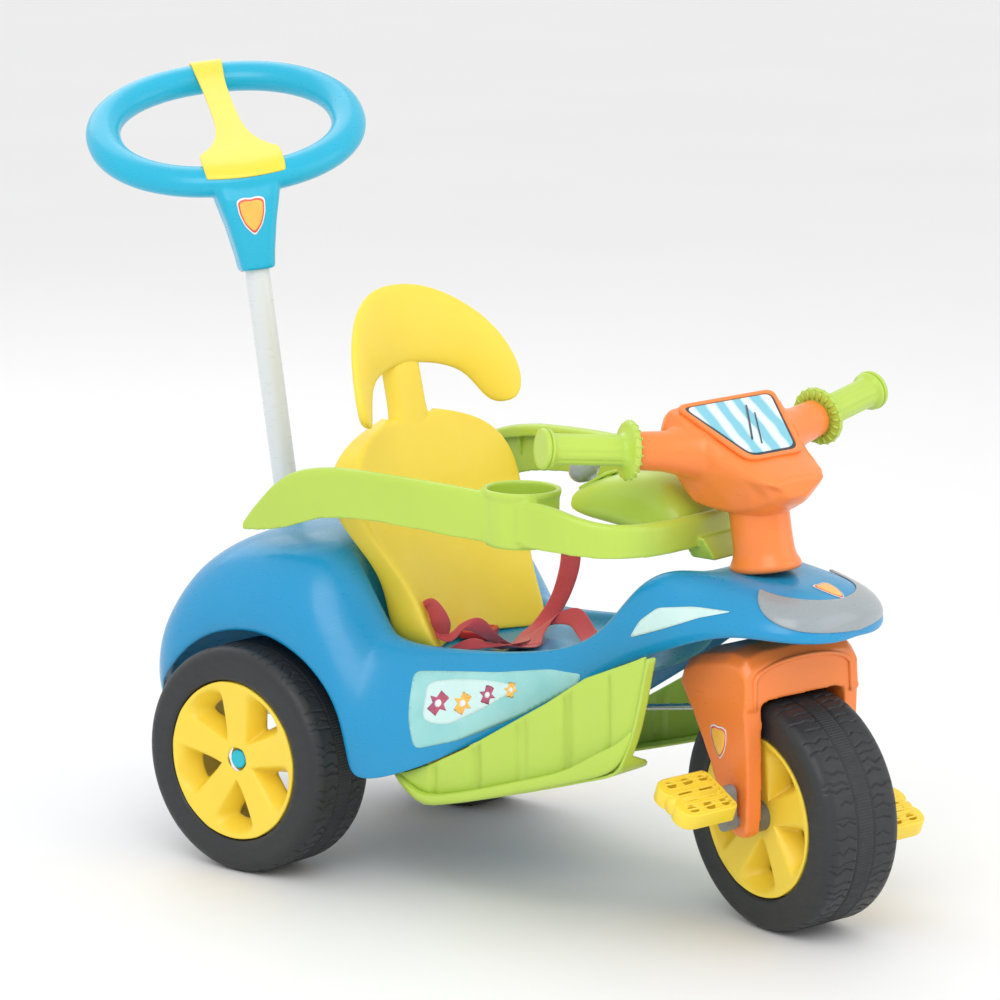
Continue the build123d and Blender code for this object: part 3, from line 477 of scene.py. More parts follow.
def makeBarrel(name, centre, width, hubLength, body, place):
    # drum behind the spokes and the hub tube
    half = width / 2 - 5
    lip = rim["lip"] - 0.4
    drum = turned([(-half, lip), (half, lip), (half, lip - 4), (-half, lip - 4), (-half, lip)], centre,
        (0, 1, 0))
    hub = turned(
        [(-hubLength, 7), (-hubLength, 13), (-hubLength + 1, 14), (hubLength - 1, 14), (hubLength, 13),
            (hubLength, 7)],
        centre,
        (0, 1, 0),
        48,
    )
    verts, faces = joined([drum, hub])
    return newPiece(name, verts, faces, rimYellow, body, (), place, smooth=False)


def smoothByAngle(obj, angle=40):
    mesh = obj.data
    work = bmesh.new()
    work.from_mesh(mesh)
    for edge in work.edges:
        if len(edge.link_faces) == 2:
            edge.smooth = edge.calc_face_angle(0) < radians(angle)
    for face in work.faces:
        face.smooth = True
    work.to_mesh(mesh)
    work.free()


for word, side in (("right", -1), ("left", 1)):
    wheel = f"rear_wheel_{word}"
    centre = (0, side * 168.5, axleHeight)
    makeTyre(f"rearTyre_{word}", centre, 83, f"rear_tyre_{word}", wheel, None, tyre["seed"] + side)
    makeRim(f"rearRim_{word}", centre, 83, (side,), f"rear_rim_{word}", wheel, None)
    smoothByAngle(makeBarrel(f"rearDrum_{word}", centre, 83, 26, wheel, None))
    repaint([f"hub_cap_{word}"], hubCyan)
frontCentre = (frontAxle.x, 0, frontAxle.z)
makeTyre("frontTyre", frontCentre, 89, "front_tyre", "front_wheel", steered, tyre["seed"] + 5)
makeRim("frontRim", frontCentre, 89, (-1, 1), "front_rim", "front_wheel", steered)
smoothByAngle(makeBarrel("frontDrum", frontCentre, 89, 36, "front_wheel", steered))
repaint(["hub_spacers", "tube_collar", "push_bush_lower", "push_bush_upper"], greyPlastic)
repaint(["steering_bush_upper", "steering_bush_lower", "axle_bushes"], greyPlastic)
repaint(["rear_axle", "steering_tube", "handlebar_core", "push_arm", "cross_bracket", "link_rod"],
    zincSteel)
repaint(["crank_axle"], crankGrey)
repaint(["cowl_screws"], screwSteel)
repaint(["push_tube"], tubeWhite)
print("wheels made")


# body shell
shell = dict(arch=130.0, wall=3.0, lip=186.0)


def archHeight(x):
    reach = shell["arch"] ** 2 - x**2
    return axleHeight + (sqrt(reach) if reach > 0 else 0)


def bodyStations():
    # (x, half-section from the lower edge over the shoulder to the middle)
    lip = shell["lip"]
    # tail and rear deck
    rows = [
        (-171, [(108, 140), (112, 150), (108, 166), (92, 172), (66, 174), (40, 175), (20, 175), (0, 175)]),
        (-168, [(116, 138), (122, 156), (118, 178), (98, 187), (70, 191), (42, 192), (20, 192), (0, 192)]),
        (-157, [(139, 142), (147, 166), (143, 196), (116, 212), (80, 219), (46, 221), (22, 221), (0, 221)]),
        (-140, [(159, 152), (165, 180), (160, 216), (130, 240), (90, 250), (50, 253), (25, 254), (0, 254)]),
        (-128, [(173, 172), (177, 196), (169, 234), (138, 260), (96, 270), (54, 273), (28, 274), (0, 274)]),
    ]
    for x, crease, deck in ((-105, 256, 297), (-80, 276, 316), (-45, 291, 332), (0, 299, 338),
        (36, 297, 339)):
        low = archHeight(x)
        rows.append(
            (x, [(lip - 2, low), (lip, low + 12), (lip - 9, crease), (146, deck - 10), (104, deck - 2),
                (60, deck), (28, deck), (0, deck)])
        )
    # shoulders fall beside the backrest
    rows += [
        (64, [(184, archHeight(64)), (186, 236), (176, 286), (142, 324), (112, 334), (100, 334), (60, 336),
            (0, 336)]),
        (78, [(183, archHeight(78)), (186, 226), (174, 276), (140, 311), (118, 322), (103, 320), (98, 300),
            (0, 300)]),
        (92, [(182, archHeight(92)), (185, 214), (170, 264), (138, 296), (118, 305), (104, 302), (97, 240),
            (0, 236)]),
        (104, [(182, archHeight(104)), (184, 204), (168, 250), (136, 280), (118, 288), (104, 284),
            (97, 230), (0, 226)]),
        (117, [(182, archHeight(117)), (183, 192), (164, 236), (134, 262), (118, 268), (105, 264),
            (97, 227), (0, 225)]),
        (127, [(182, 132), (182, 182), (160, 226), (133, 249), (118, 254), (105, 250), (97, 226),
            (0, 225)]),
        (133, [(182, 112), (181, 172), (158, 220), (132, 244), (118, 249), (105, 245), (97, 226),
            (0, 225)]),
        (158, [(177, 113), (175, 160), (150, 215), (128, 238), (117, 243), (105, 240), (97, 226),
            (0, 225)]),
        (200, [(162, 129), (160, 168), (138, 217), (123, 240), (115, 245), (105, 242), (97, 226),
            (0, 225)]),
        (252, [(140, 158), (141, 186), (128, 226), (119, 245), (113, 249), (105, 246), (97, 226),
            (0, 225)]),
        (304, [(126, 190), (127, 210), (120, 237), (115, 252), (110, 256), (103, 252), (94, 227),
            (0, 225)]),
        (353, [(116, 221), (117, 234), (113, 253), (110, 264), (106, 268), (99, 263), (88, 230), (0, 226)]),
        (382, [(109, 243), (111, 254), (110, 269), (107, 283), (101, 290), (92, 282), (80, 234), (0, 229)]),
        (400, [(107, 253), (109, 264), (108, 286), (104, 306), (96, 314), (85, 306), (72, 262), (0, 256)]),
        (417, [(104, 261), (107, 272), (105, 300), (100, 329), (90, 337), (77, 330), (62, 300), (0, 296)]),
        (435, [(101, 269), (104, 279), (102, 306), (95, 339), (82, 350), (66, 348), (50, 335), (0, 332)]),
        (457, [(97, 277), (101, 286), (99, 308), (90, 340), (75, 351), (58, 350), (40, 347), (0, 346)]),
        (488, [(92, 289), (96, 296), (94, 312), (82, 334), (66, 345), (48, 347), (30, 346), (0, 346)]),
        (522, [(90, 298), (95, 303), (92, 315), (77, 333), (60, 342), (42, 345), (26, 345), (0, 345)]),
        (556, [(86, 299), (91, 304), (87, 316), (70, 330), (53, 338), (37, 341), (22, 342), (0, 342)]),
        (582, [(75, 297), (80, 303), (75, 313), (60, 325), (45, 332), (31, 334), (18, 335), (0, 335)]),
        (598, [(57, 296), (61, 301), (56, 310), (45, 319), (33, 324), (22, 326), (13, 327), (0, 327)]),
        (606.5, [(34, 295), (37, 300), (34, 307), (27, 313), (20, 317), (14, 319), (8, 320), (0, 320)]),
        (609, [(12, 296), (13, 300), (12, 305), (10, 309), (7, 312), (5, 313), (3, 314), (0, 314)]),
    ]
    return rows


def makeBody():
    rows = []
    for x, half in bodyStations():
        right = [(x, -y, z) for y, z in half]
        left = [(x, y, z) for y, z in reversed(half[:-1])]
        rows.append(right + left)
    verts, faces = skin(rows)
    first, last = 0, (len(rows) - 1) * len(rows[0])
    count = len(rows[0])
    faces.append(tuple(range(first, first + count)))
    faces.append(tuple(range(last, last + count)))
    obj = newPiece("bodyShell", verts, faces, bodyBlue, "chassis", ("body_shell",))
    thicken(obj, shell["wall"], -1)
    soften(obj, 3)
    return obj


makeBody()
print("body made")

# helpers for fused, flat and wrapped pieces
def fuse(name, parts, material, body, replaced=(), place=None, voxel=1.6, rounds=10):
    # overlapping closed shapes melted into one moulding with soft inner corners
    verts, faces = joined(parts)
    obj = newPiece(name, verts, faces, material, body, replaced, place)
    remesh = obj.modifiers.new("melt", "REMESH")
    remesh.mode = "VOXEL"
    remesh.voxel_size = voxel * mm
    remesh.use_smooth_shade = True
    soft = obj.modifiers.new("soft", "SMOOTH")
    soft.factor = 0.5
    soft.iterations = rounds
    return obj


def plate(name, outlines, thickness, bevel, stand, material, body, replaced=(), place=None):
    # flat moulding with rounded edges; the first outline is outside and the others are holes
    curve = bpy.data.curves.new(name, "CURVE")
    curve.dimensions = "2D"
    curve.fill_mode = "BOTH"
    curve.extrude = (thickness / 2 - bevel) * mm
    curve.bevel_depth = bevel * mm
    curve.bevel_resolution = 2
    curve.offset = -bevel * mm
    for outline in outlines:
        spline = curve.splines.new("POLY")
        spline.points.add(len(outline) - 1)
        for point, (a, b) in zip(spline.points, outline):
            point.co = (a * mm, b * mm, 0, 1)
        spline.use_cyclic_u = True
    temp = bpy.data.objects.new(name + "Curve", curve)
    bpy.context.scene.collection.objects.link(temp)
    mesh = bpy.data.meshes.new_from_object(temp.evaluated_get(bpy.context.evaluated_depsgraph_get()))
    bpy.data.objects.remove(temp)
    origin, right, up = (Vector(v) for v in stand)
    right, up = right.normalized(), up.normalized()
    frame4 = Matrix((right, up, right.cross(up))).transposed().to_4x4()
    frame4.translation = origin * mm
    mesh.transform(frame4)
    if place is not None:
        mesh.transform(place)
    mesh.materials.clear()
    mesh.materials.append(material)
    obj = bpy.data.objects.new(name, mesh)
    bpy.context.scene.collection.objects.link(obj)
    if replaced:
        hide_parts(*replaced)
    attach(obj, body)
    smoothByAngle(obj)
    return obj


def rounded(points, radius, steps=5):
    # outline with its corners rounded
    out = []
    count = len(points)
    for i in range(count):
        before, at, after = (Vector(points[k % count]) for k in (i - 1, i, i + 1))
        size = min(radius, (at - before).length * 0.45, (after - at).length * 0.45)
        start = at + (before - at).normalized() * size
        end = at + (after - at).normalized() * size
        for k in range(steps + 1):
            t = k / steps
            out.append(tuple(start * (1 - t) ** 2 + at * 2 * t * (1 - t) + end * t * t))
    return out


def circle(x, y, radius, steps=24):
    return [(x + radius * cos(2 * pi * k / steps), y + radius * sin(2 * pi * k / steps))
        for k in range(steps)]


def spline(points, steps=8, closed=False):
    # Catmull-Rom curve through points of any dimension
    pts = [Vector(p) for p in points]
    count = len(pts)
    out = []
    for i in range(count if closed else count - 1):
        near = (i - 1, i, i + 1, i + 2)
        a, b, c, d = (pts[k % count if closed else min(max(k, 0), count - 1)] for k in near)
        for k in range(steps):
            t = k / steps
            square = (2 * a - 5 * b + 4 * c - d) * t * t
            out.append(0.5 * (2 * b + (c - a) * t + square + (3 * b - a - 3 * c + d) * t**3))
    if not closed:
        out.append(pts[-1])
    return out


def tube(path, radius, steps=16, closed=False, caps=True):
    rows = []
    count = len(path)
    normal = None
    for i, point in enumerate(path):
        ahead = Vector(path[(i + 1) % count] if closed or i + 1 < count else path[i])
        behind = Vector(path[i - 1] if closed or i else path[i])
        along = (ahead - behind).normalized()
        normal = along.orthogonal() if normal is None else normal - along * normal.dot(along)
        normal.normalize()
        other = along.cross(normal)
        r = radius[i] if isinstance(radius, (list, tuple)) else radius
        rows.append(
            [Vector(point) + (normal * cos(a) + other * sin(a)) * r
                for a in (2 * pi * k / steps for k in range(steps))]
        )
    if closed:
        rows.append(rows[0])
    return skin(rows, closed=True, caps=caps and not closed)


def wrapped(name, outline, spot, aim, target, lift, material, body, step=5.0, place=None):
    # thin film cut to an outline and laid on another piece's surface
    deps = bpy.context.evaluated_depsgraph_get()
    tree = BVHTree.FromObject(target, deps)
    work = bmesh.new()
    work.faces.new([work.verts.new((a, b, 0)) for a, b in outline])
    bmesh.ops.triangulate(work, faces=work.faces)
    for _ in range(7):
        wide = [edge for edge in work.edges if edge.calc_length() > step]
        if not wide:
            break
        bmesh.ops.subdivide_edges(work, edges=wide, cuts=1)
        bmesh.ops.triangulate(work, faces=work.faces)
    turn = place.to_3x3() if place is not None else Matrix.Identity(3)
    direction = (turn @ Vector(aim)).normalized()
    kept, lost = [], []
    for vert in work.verts:
        start = Vector(spot(vert.co.x, vert.co.y)) * mm
        if place is not None:
            start = place @ start
        hit, normal, _, _ = tree.ray_cast(start, direction)
        if hit is None:
            lost.append(vert)
            continue
        if normal.dot(direction) > 0:
            normal = -normal
        vert.co = hit + normal * lift * mm
        kept.append(vert)
    if lost:
        bmesh.ops.delete(work, geom=lost, context="VERTS")
    mesh = bpy.data.meshes.new(name)
    work.to_mesh(mesh)
    work.free()
    for face in mesh.polygons:
        face.use_smooth = True
    mesh.materials.append(material)
    obj = bpy.data.objects.new(name, mesh)
    bpy.context.scene.collection.objects.link(obj)
    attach(obj, body)
    wall = thicken(obj, lift * 0.9, -1)
    wall.use_even_offset = False
    return obj


# seat
seat = dict(lean=13.0, neckHalf=27.0)


def makeBackrest():
    # rows of (z, x of the middle, x of the front edges, half-width, depth of the returned side)
    sections = [
        (228, 132, 168, 84, 40),
        (238, 128, 169, 94, 60),
        (262, 120, 158, 96, 55),
        (285, 112, 147, 98, 48),
        (310, 104, 133, 107, 40),
        (340, 95, 115, 122, 42),
        (368, 87, 103, 131, 46),
        (396, 79, 94, 128, 42),
        (419, 72, 85, 113, 32),
        (436, 67, 76, 84, 22),
        (446, 63, 67, 44, 14),
        (446, 54, 57, 40, 8),
    ]
    rows = []
    for z, middle, edge, half, depth in sections:
        row = []
        for share, back in ((-1, 1), (-1, 0.5), (-1, 0.08), (-0.93, 0), (-0.66, 0), (-0.33, 0)):
            x = middle + (edge - middle) * abs(share) ** 2.2
            row.append((x - depth * back, share * half * (1 - 0.03 * back), z))
        right = [(x, -y, zz) for x, y, zz in reversed(row)]
        rows.append(row + [(middle, 0, z)] + right)
    verts, faces = skin(rows)
    obj = newPiece("backrestPad", verts, faces, seatYellow, "chassis", ("backrest",))
    thicken(obj, 4, -1)
    soften(obj, 2)
    # neck between the pads
    tilt = tan(radians(seat["lean"]))
    parts = []
    rows = []
    for z in (425, 437, 452, 470, 488, 505):
        x = 55 - (z - 440) * tilt
        half = seat["neckHalf"] + (10 if z < 430 else 3 if z < 440 else 0)
        ring = [(x + 8, -half + 5, z), (x + 11, -half + 12, z), (x + 11, half - 12, z),
            (x + 8, half - 5, z)]
        ring += [(x - 2, half, z), (x - 6, half, z), (x - 6, -half, z), (x - 2, -half, z)]
        rows.append(ring)
    parts.append(skin(rows, closed=True, caps=True))
    verts, faces = joined(parts)
    soften(newPiece("seatNeck", verts, faces, seatYellow, "chassis"), 2)


def makeHeadrest():
    # pairs of outer and inner edge points of one half, as (y, z)
    edges = [
        ((0, 577), (0, 495)),
        ((24, 576), (18, 494)),
        ((48, 571), (36, 492)),
        ((72, 561), (54, 488)),
        ((94, 546), (66, 483)),
        ((112, 527), (75, 477)),
        ((123, 506), (82, 468)),
        ((129, 484), (88, 459)),
        ((128, 465), (95, 451)),
        ((120, 453), (105, 447)),
    ]
    rows = []
    for side in (-1, 1):
        for outer, inner in reversed(edges) if side < 0 else edges[1:]:
            ring = []
            loop = ((0, 0), (0.06, 6), (0.28, 9), (0.5, 10), (0.72, 9), (0.94, 6), (1, 0), (0.94, -4),
                (0.5, -3), (0.06, -4))
            for share, out in loop:
                y = outer[0] + (inner[0] - outer[0]) * share
                z = outer[1] + (inner[1] - outer[1]) * share
                bend = 34 * (y / 115) ** 2 - (z - 480) * tan(radians(seat["lean"]))
                ring.append((52 + bend + out, side * y, z))
            rows.append(ring)
    verts, faces = skin(rows, closed=True, caps=True)
    soften(newPiece("headrestPad", verts, faces, seatYellow, "chassis", ("headrest",)), 2)


makeBackrest()
makeHeadrest()
print("seat made")


# guard ring with its cup, and the console
guard = dict(front=440.0, wall=3.5, lip=14.0, cup=(304.0, -131.0), cupRadius=33.0, cupTop=421.0,
    cupDepth=52.0)


def along(table, x):
    # smooth value from a short table of (x, value)
    for (x0, v0), (x1, v1) in zip(table, table[1:]):
        if x <= x1:
            t = min(1, max(0, (x - x0) / (x1 - x0)))
            return v0 + (v1 - v0) * t
    return table[-1][1]


def makeGuard():
    half = [(-30, 160), (10, 163), (60, 166), (120, 168), (200, 167), (270, 165), (330, 162), (378, 155),
        (410, 139)]
    half += [(429, 115), (437, 84), (440, 50), (441, 18)]
    path = [(x, -y) for x, y in half] + [(x, y) for x, y in reversed(half)]
    path = spline(path, 5)
    tops = spline([(-34, 343), (-20, 360), (-5, 375), (15, 393), (42, 408), (80, 417), (124, 420),
        (200, 420), (280, 418),
                   (350, 413), (388, 404), (412, 399), (445, 396)], 4)
    lows = spline([(-34, 339), (0, 343), (34, 351), (60, 360), (86, 367), (140, 372), (204, 371),
        (280, 369), (350, 369),
                   (400, 366), (445, 364)], 4)
    rows = []
    for i, point in enumerate(path):
        ahead = path[min(i + 1, len(path) - 1)] - path[max(i - 1, 0)]
        inward = Vector((-ahead.y, ahead.x)).normalized()
        top = along([tuple(p) for p in tops], point.x)
        low = along([tuple(p) for p in lows], point.x)
        lip = min(guard["lip"], 2 + (top - low) * 0.4)
        w = guard["wall"]
        tall = top - low
        section = [(0.5, low), (0, low + tall * 0.5), (0, top - 6), (1.2, top - 2.5), (4, top),
            (lip - 3, top - 1)]
        section += [(lip, top - 4), (lip, top - 4 - min(9, tall * 0.4)),
            (lip - w, top - 4 - min(9, tall * 0.4))]
        section += [(lip - w, top - 5.5), (w + 0.5, top - 5.5), (w, top - 12 if tall > 20 else low + 3),
            (w, low)]
        rows.append([(point.x + inward.x * n, point.y + inward.y * n, z) for n, z in section])
    band = skin(rows, closed=True, caps=True)
    x, y = guard["cup"]
    r, top, low = guard["cupRadius"], guard["cupTop"], guard["cupTop"] - guard["cupDepth"]
    profile = [(low - 3.5, 0.01), (low - 3.5, r + 1.5), (low, r + 3.5), (top - 9, r + 3.8),
        (top - 5, r + 5.5)]
    profile += [(top - 1, r + 5.5), (top, r + 4), (top, r + 1), (top - 1.5, r), (low, r - 1), (low, 0.01)]
    cup = turned(profile, (x, y, 0), (0, 0, 1), 64)
    gusset = skin(
        [
            [(x - 58, y - 33, 375), (x - 58, y - 33, 408), (x - 58, y - 27, 410), (x - 58, y - 27, 375)],
            [(x - 22, y - 34, 374), (x - 22, y - 34, 411), (x - 22, y - 25, 413), (x - 22, y - 25, 374)],
            [(x + 22, y - 33, 374), (x + 22, y - 33, 411), (x + 22, y - 24, 413), (x + 22, y - 24, 374)],
            [(x + 56, y - 25, 372), (x + 56, y - 25, 406), (x + 56, y - 19, 408), (x + 56, y - 19, 372)],
        ],
        closed=True,
        caps=True,
    )
    foot = skin(
        [
            [(420, -30, 374), (446, -30, 374), (446, 30, 374), (420, 30, 374)],
            [(424, -26, 362), (452, -26, 362), (452, 26, 362), (424, 26, 362)],
            [(428, -22, 352), (456, -22, 352), (456, 22, 352), (428, 22, 352)],
        ],
        closed=True,
        caps=True,
    )
    parts = [band, cup, gusset, foot]
    fuse("guardRing", parts, limeGreen, "chassis", ("guard_ring",), voxel=1.5, rounds=4)
    # stiffening ribs inside the channel
    ribs = []
    for i in range(6, len(path) - 6, 3):
        point = path[i]
        ahead = path[i + 1] - path[i - 1]
        inward = Vector((-ahead.y, ahead.x)).normalized()
        step = Vector((ahead.x, ahead.y)).normalized() * 0.9
        top = along([tuple(p) for p in tops], point.x) - 5
        bottom = along([tuple(p) for p in lows], point.x) + 3
        rows = []
        for n, z in ((3, top), (11, top), (8, max(top - 14, bottom + 4)), (3, max(top - 30, bottom))):
            base = Vector((point.x, point.y)) + inward * n
            rows.append([(base.x - step.x, base.y - step.y, z), (base.x + step.x, base.y + step.y, z)])
        verts = [p for row in rows for p in row]
        ribs.append((verts,
            [(0, 2, 4, 6), (1, 7, 5, 3), (0, 1, 3, 2), (2, 3, 5, 4), (4, 5, 7, 6), (6, 7, 1, 0)]))
    verts, faces = joined(ribs)
    newPiece("guardRibs", verts, faces, limeGreen, "chassis", smooth=False)


def makeConsole():
    # stations of (x, half-width, top, bottom)
    stations = [
        (276, 16, 392, 382),
        (281, 25, 398, 378),
        (292, 32, 405, 375),
        (312, 38, 414, 372),
        (340, 43, 423, 370),
        (368, 47, 430, 366),
        (392, 49, 430, 358),
        (408, 49, 421, 356),
        (422, 47, 407, 358),
        (432, 42, 396, 364),
    ]
    rows = []
    for x, half, top, low in stations:
        tall = top - low
        ring = [(x, -half, low), (x, -half, low + tall * 0.45), (x, -half * 0.9, low + tall * 0.78)]
        ring += [(x, -half * 0.66, top - 1.5), (x, -half * 0.3, top), (x, half * 0.3, top),
            (x, half * 0.66, top - 1.5)]
        ring += [(x, half * 0.9, low + tall * 0.78), (x, half, low + tall * 0.45), (x, half, low)]
        rows.append(ring)
    verts, faces = skin(rows, closed=True, caps=True)
    obj = newPiece("consoleHump", verts, faces, limeGreen, "chassis", ("console",))
    soften(obj, 3)
    # raised rim round the lever's slot
    tilt = Vector((0.86, 0, 0.5))
    outline = rounded([(-22, -13), (22, -13), (22, 13), (-22, 13)], 9)
    hole = rounded([(-16, -5), (16, -5), (16, 5), (-16, 5)], 5)
    plate("leverRim", [outline, hole], 3.5, 1.2, ((298, 0, 408.5), tilt, (0, 1, 0)), limeGreen, "chassis")


def makeLever():
    pivot = Vector(joints["gear_lever_tilt"]["pos_m"]) / mm
    knob = pivot + Vector((-26, 0, 25))
    stem = tube([pivot, pivot + Vector((-9, 0, 9)), pivot + Vector((-20, 0, 19))], [6, 4.2, 6], 20)
    direction = Vector((-0.72, 0, 0.69))
    side, other = Vector((0, 1, 0)), Vector((0.69, 0, 0.72))
    rows = []
    for k in range(1, 16):
        a = pi * k / 16
        rows.append(
            [
                knob + direction * -13.5 * cos(a) + (side * 16.5 * cos(b) + other * 17 * sin(b)) * sin(a)
                for b in (2 * pi * j / 32 for j in range(32))
            ]
        )
    ball = skin(rows, closed=True, caps=True)
    fuse("leverKnob", [stem, ball], silverPaint, "gear_lever", ("gear_lever",), voxel=0.9, rounds=6)
    label = turned([(0, 0.01), (0, 7), (1.2, 7), (1.2, 5.6), (0.6, 5), (0.6, 0.01)],
        knob + direction * 13.2, direction, 32)
    newPiece("leverBadge", *label, greyPlastic, "gear_lever")


makeGuard()
makeConsole()
makeLever()
print("guard, console and lever made")


# fork, column, cowl and grips; drawn with the wheel straight ahead
bar = dict(point=(470.0, 0.0, 456.0), sweep=14.5, rise=7.0, reach=116.0, grip=93.0)


def makeFork():
    cx, cz = frontAxle.x, frontAxle.z
    parts = []
    for side in (-1, 1):
        rows = []
        # legs: (height over the axle, rear edge, front edge, inner face, outer face)
        for z, rear, front, near, far in ((-17, -9, 9, 52, 64), (-10, -17, 17, 51, 66),
            (6, -24, 19, 50, 66),
                                          (50, -44, 21, 50, 66), (84, -62, 22, 50, 67),
                                              (112, -75, 22, 50, 69),
                                          (134, -82, 20, 44, 68), (147, -78, 16, 30, 60)):
            ys = [side * near, side * far]
            rows.append(
                [
                    (cx + rear, ys[0], cz + z),
                    (cx + rear + 3, ys[1], cz + z),
                    (cx + front - 3, ys[1], cz + z),
                    (cx + front, ys[0], cz + z),
                ]
            )
        parts.append(skin(rows, closed=True, caps=True))
    # crown: sections across, from leg to leg
    rows = []
    for y in (-68, -60, -40, 0, 40, 60, 68):
        drop = 14 * max(0, (abs(y) - 50) / 18) ** 2
        arch = 121 + (0 if abs(y) < 52 else -6)

        def low(x):
            return cz + sqrt(max(0, arch**2 - x**2))

        ring = [(cx - 82, y, max(cz + 118, low(-82))), (cx - 84, y, cz + 134 - drop),
            (cx - 77, y, cz + 148 - drop)]
        ring += [(cx - 60, y, cz + 157 - drop), (cx - 10, y, cz + 168 - drop),
            (cx + 12, y, cz + 166 - drop)]
        ring += [(cx + 21, y, cz + 155 - drop), (cx + 22, y, low(22)), (cx - 10, y, low(-10)),
            (cx - 45, y, low(-45))]
        ring += [(cx - 68, y, max(cz + 100, low(-68)))]
        rows.append(ring)
    parts.append(skin(rows, closed=True, caps=True))
    fuse("forkMoulding", parts, orangePaint, "steering", ("fork",), steered, voxel=1.6, rounds=9)
    # raised bead along the arch's front edge
    bead = []
    for a in range(-90, 91, 6):
        y = 58 * sin(radians(a))
        z = 132 + 24 * cos(radians(a)) ** 0.6 if abs(a) < 90 else 112
        bead.append((cx + 21.5, y, cz + z))
    newPiece("forkBead", *tube(spline(bead, 2), 2.4, 10), orangePaint, "steering", (), steered)


columnShift = 8.0


def makeColumn():
    rows = []
    for z, a, b in ((346, 32, 28), (347, 36, 31), (350, 38, 33), (354, 37.5, 32.5), (358, 34.5, 30),
        (364, 32, 28),
                    (378, 31.5, 27.5), (400, 31.5, 27.5), (425, 32, 28), (436, 31, 27)):
        x = joints["steer"]["pos_m"][0] / mm - (z - steerHeight) * lean + columnShift
        rows.append(
            [(x + a * cos(t), b * sin(t), z + a * cos(t) * lean * 0.9)
                for t in (2 * pi * k / 48 for k in range(48))]
        )
    verts, faces = skin(rows, closed=True, caps=True)
    soften(newPiece("columnCover", verts, faces, orangePaint, "steering", ("column_cover",), steered), 1)


def barAxis(side):
    s, r = radians(bar["sweep"]), radians(bar["rise"])
    return Vector((-sin(s), side * cos(s), tan(r))).normalized()


def makeCowl():
    stations = [
        (-130, 46, 50, 34, 482, 462, 448),
        (-122, 56, 61, 41, 494, 458, 432),
        (-108, 60, 66, 44, 503, 452, 414),
        (-91, 61, 67, 45, 499, 449, 404),
        (-66, 53, 60, 39, 485, 450, 401),
        (-40, 44, 52, 35, 471, 447, 402),
        (-16, 36, 45, 31, 459, 445, 408),
        (4, 30, 38, 25, 451, 443, 418),
        (16, 22, 30, 17, 446, 441, 428),
    ]
    rows = []
    for fwd, a, b, c, top, mid, low in stations:
        x = wheelbase + fwd
        half = [(0, top + 1), (a * 0.7, top), (a, top - 2), (b, top - min(16, (top - mid) / 2)),
            (b * 0.96, mid), (c, low + 7), (c * 0.6, low)]
        ring = [(x, -y, z) for y, z in half] + [(x, 0, low)] + [(x, y, z) for y, z in reversed(half[1:])]
        rows.append(ring)
    parts = [skin(rows, closed=True, caps=True)]
    for side in (-1, 1):
        d = barAxis(side)
        base = Vector(bar["point"])
        steps = [(18, 27), (40, 30), (62, 24), (84, 19.5), (bar["reach"] - 2, 18.5),
            (bar["reach"] - 0.5, 18)]
        parts.append(tube([base + d * s for s, _ in steps], [r for _, r in steps], 40))
    # neck over the column
    rows = []
    for z, grow in ((404, 0), (412, 1), (422, 6), (434, 14)):
        x = joints["steer"]["pos_m"][0] / mm - (z - steerHeight) * lean + columnShift
        rows.append([(x + (33 + grow) * cos(t), (29 + grow) * sin(t), z)
            for t in (2 * pi * k / 40 for k in range(40))])
    parts.append(skin(rows, closed=True, caps=True))
    fuse("cowlMoulding", parts, orangePaint, "steering", ("cowl",), steered, voxel=1.5, rounds=26)


def makeGrips():
    for side, word in ((-1, "right"), (1, "left")):
        d = barAxis(side)
        start = Vector(bar["point"]) + d * (bar["reach"] + 0.3)
        up = Vector((0, 0, 1))
        u = d.cross(up).normalized()
        v = u.cross(d)
        profile = [(0, 8.2), (0, 26), (1, 28), (4.5, 28.6), (6.5, 27), (7, 24), (8.5, 18), (11, 15.2),
            (14, 15)]
        profile += [(20, 15), (60, 15), (78, 15), (81, 15.4), (83, 18), (85, 19), (86.5, 19), (87, 17.6),
            (88, 17.4)]
        profile += [(88.5, 19.2), (90, 19.8), (92, 19.4), (93, 17.6), (92.6, 12), (92, 0.01)]
        rows = []
        for s, r in profile:
            row = []
            for k in range(96):
                a = 2 * pi * k / 96
                rr = r - (0.7 * (0.5 + 0.5 * cos(10 * a)) ** 3 if 14 <= s <= 79 else 0)
                row.append(start + d * s + (u * cos(a) + v * sin(a)) * rr)
            rows.append(row)
        obj = newPiece(f"grip_{word}", *skin(rows, closed=True), limeGreen, "steering", (f"grip_{word}",),
            steered)
        smoothByAngle(obj, 50)
        # ribs on the flange's inner face
        ribs = []
        for k in range(20):
            a = 2 * pi * k / 20
            ray = u * cos(a) + v * sin(a)
            tip = start + ray * 27.2
            ribs.append(tube([start + ray * 19 - d * 0.4, start + ray * 23 - d * 1.0, tip - d * 0.4], 1.3,
                8))
            ribs.append(tube([tip + d * 0.6, tip + d * 3 + ray * 1.5, tip + d * 5.4], 1.2, 8))
        newPiece(f"gripRibs_{word}", *joined(ribs), limeGreen, "steering", (), steered)


makeFork()
makeColumn()
makeCowl()
makeGrips()
print("front made")


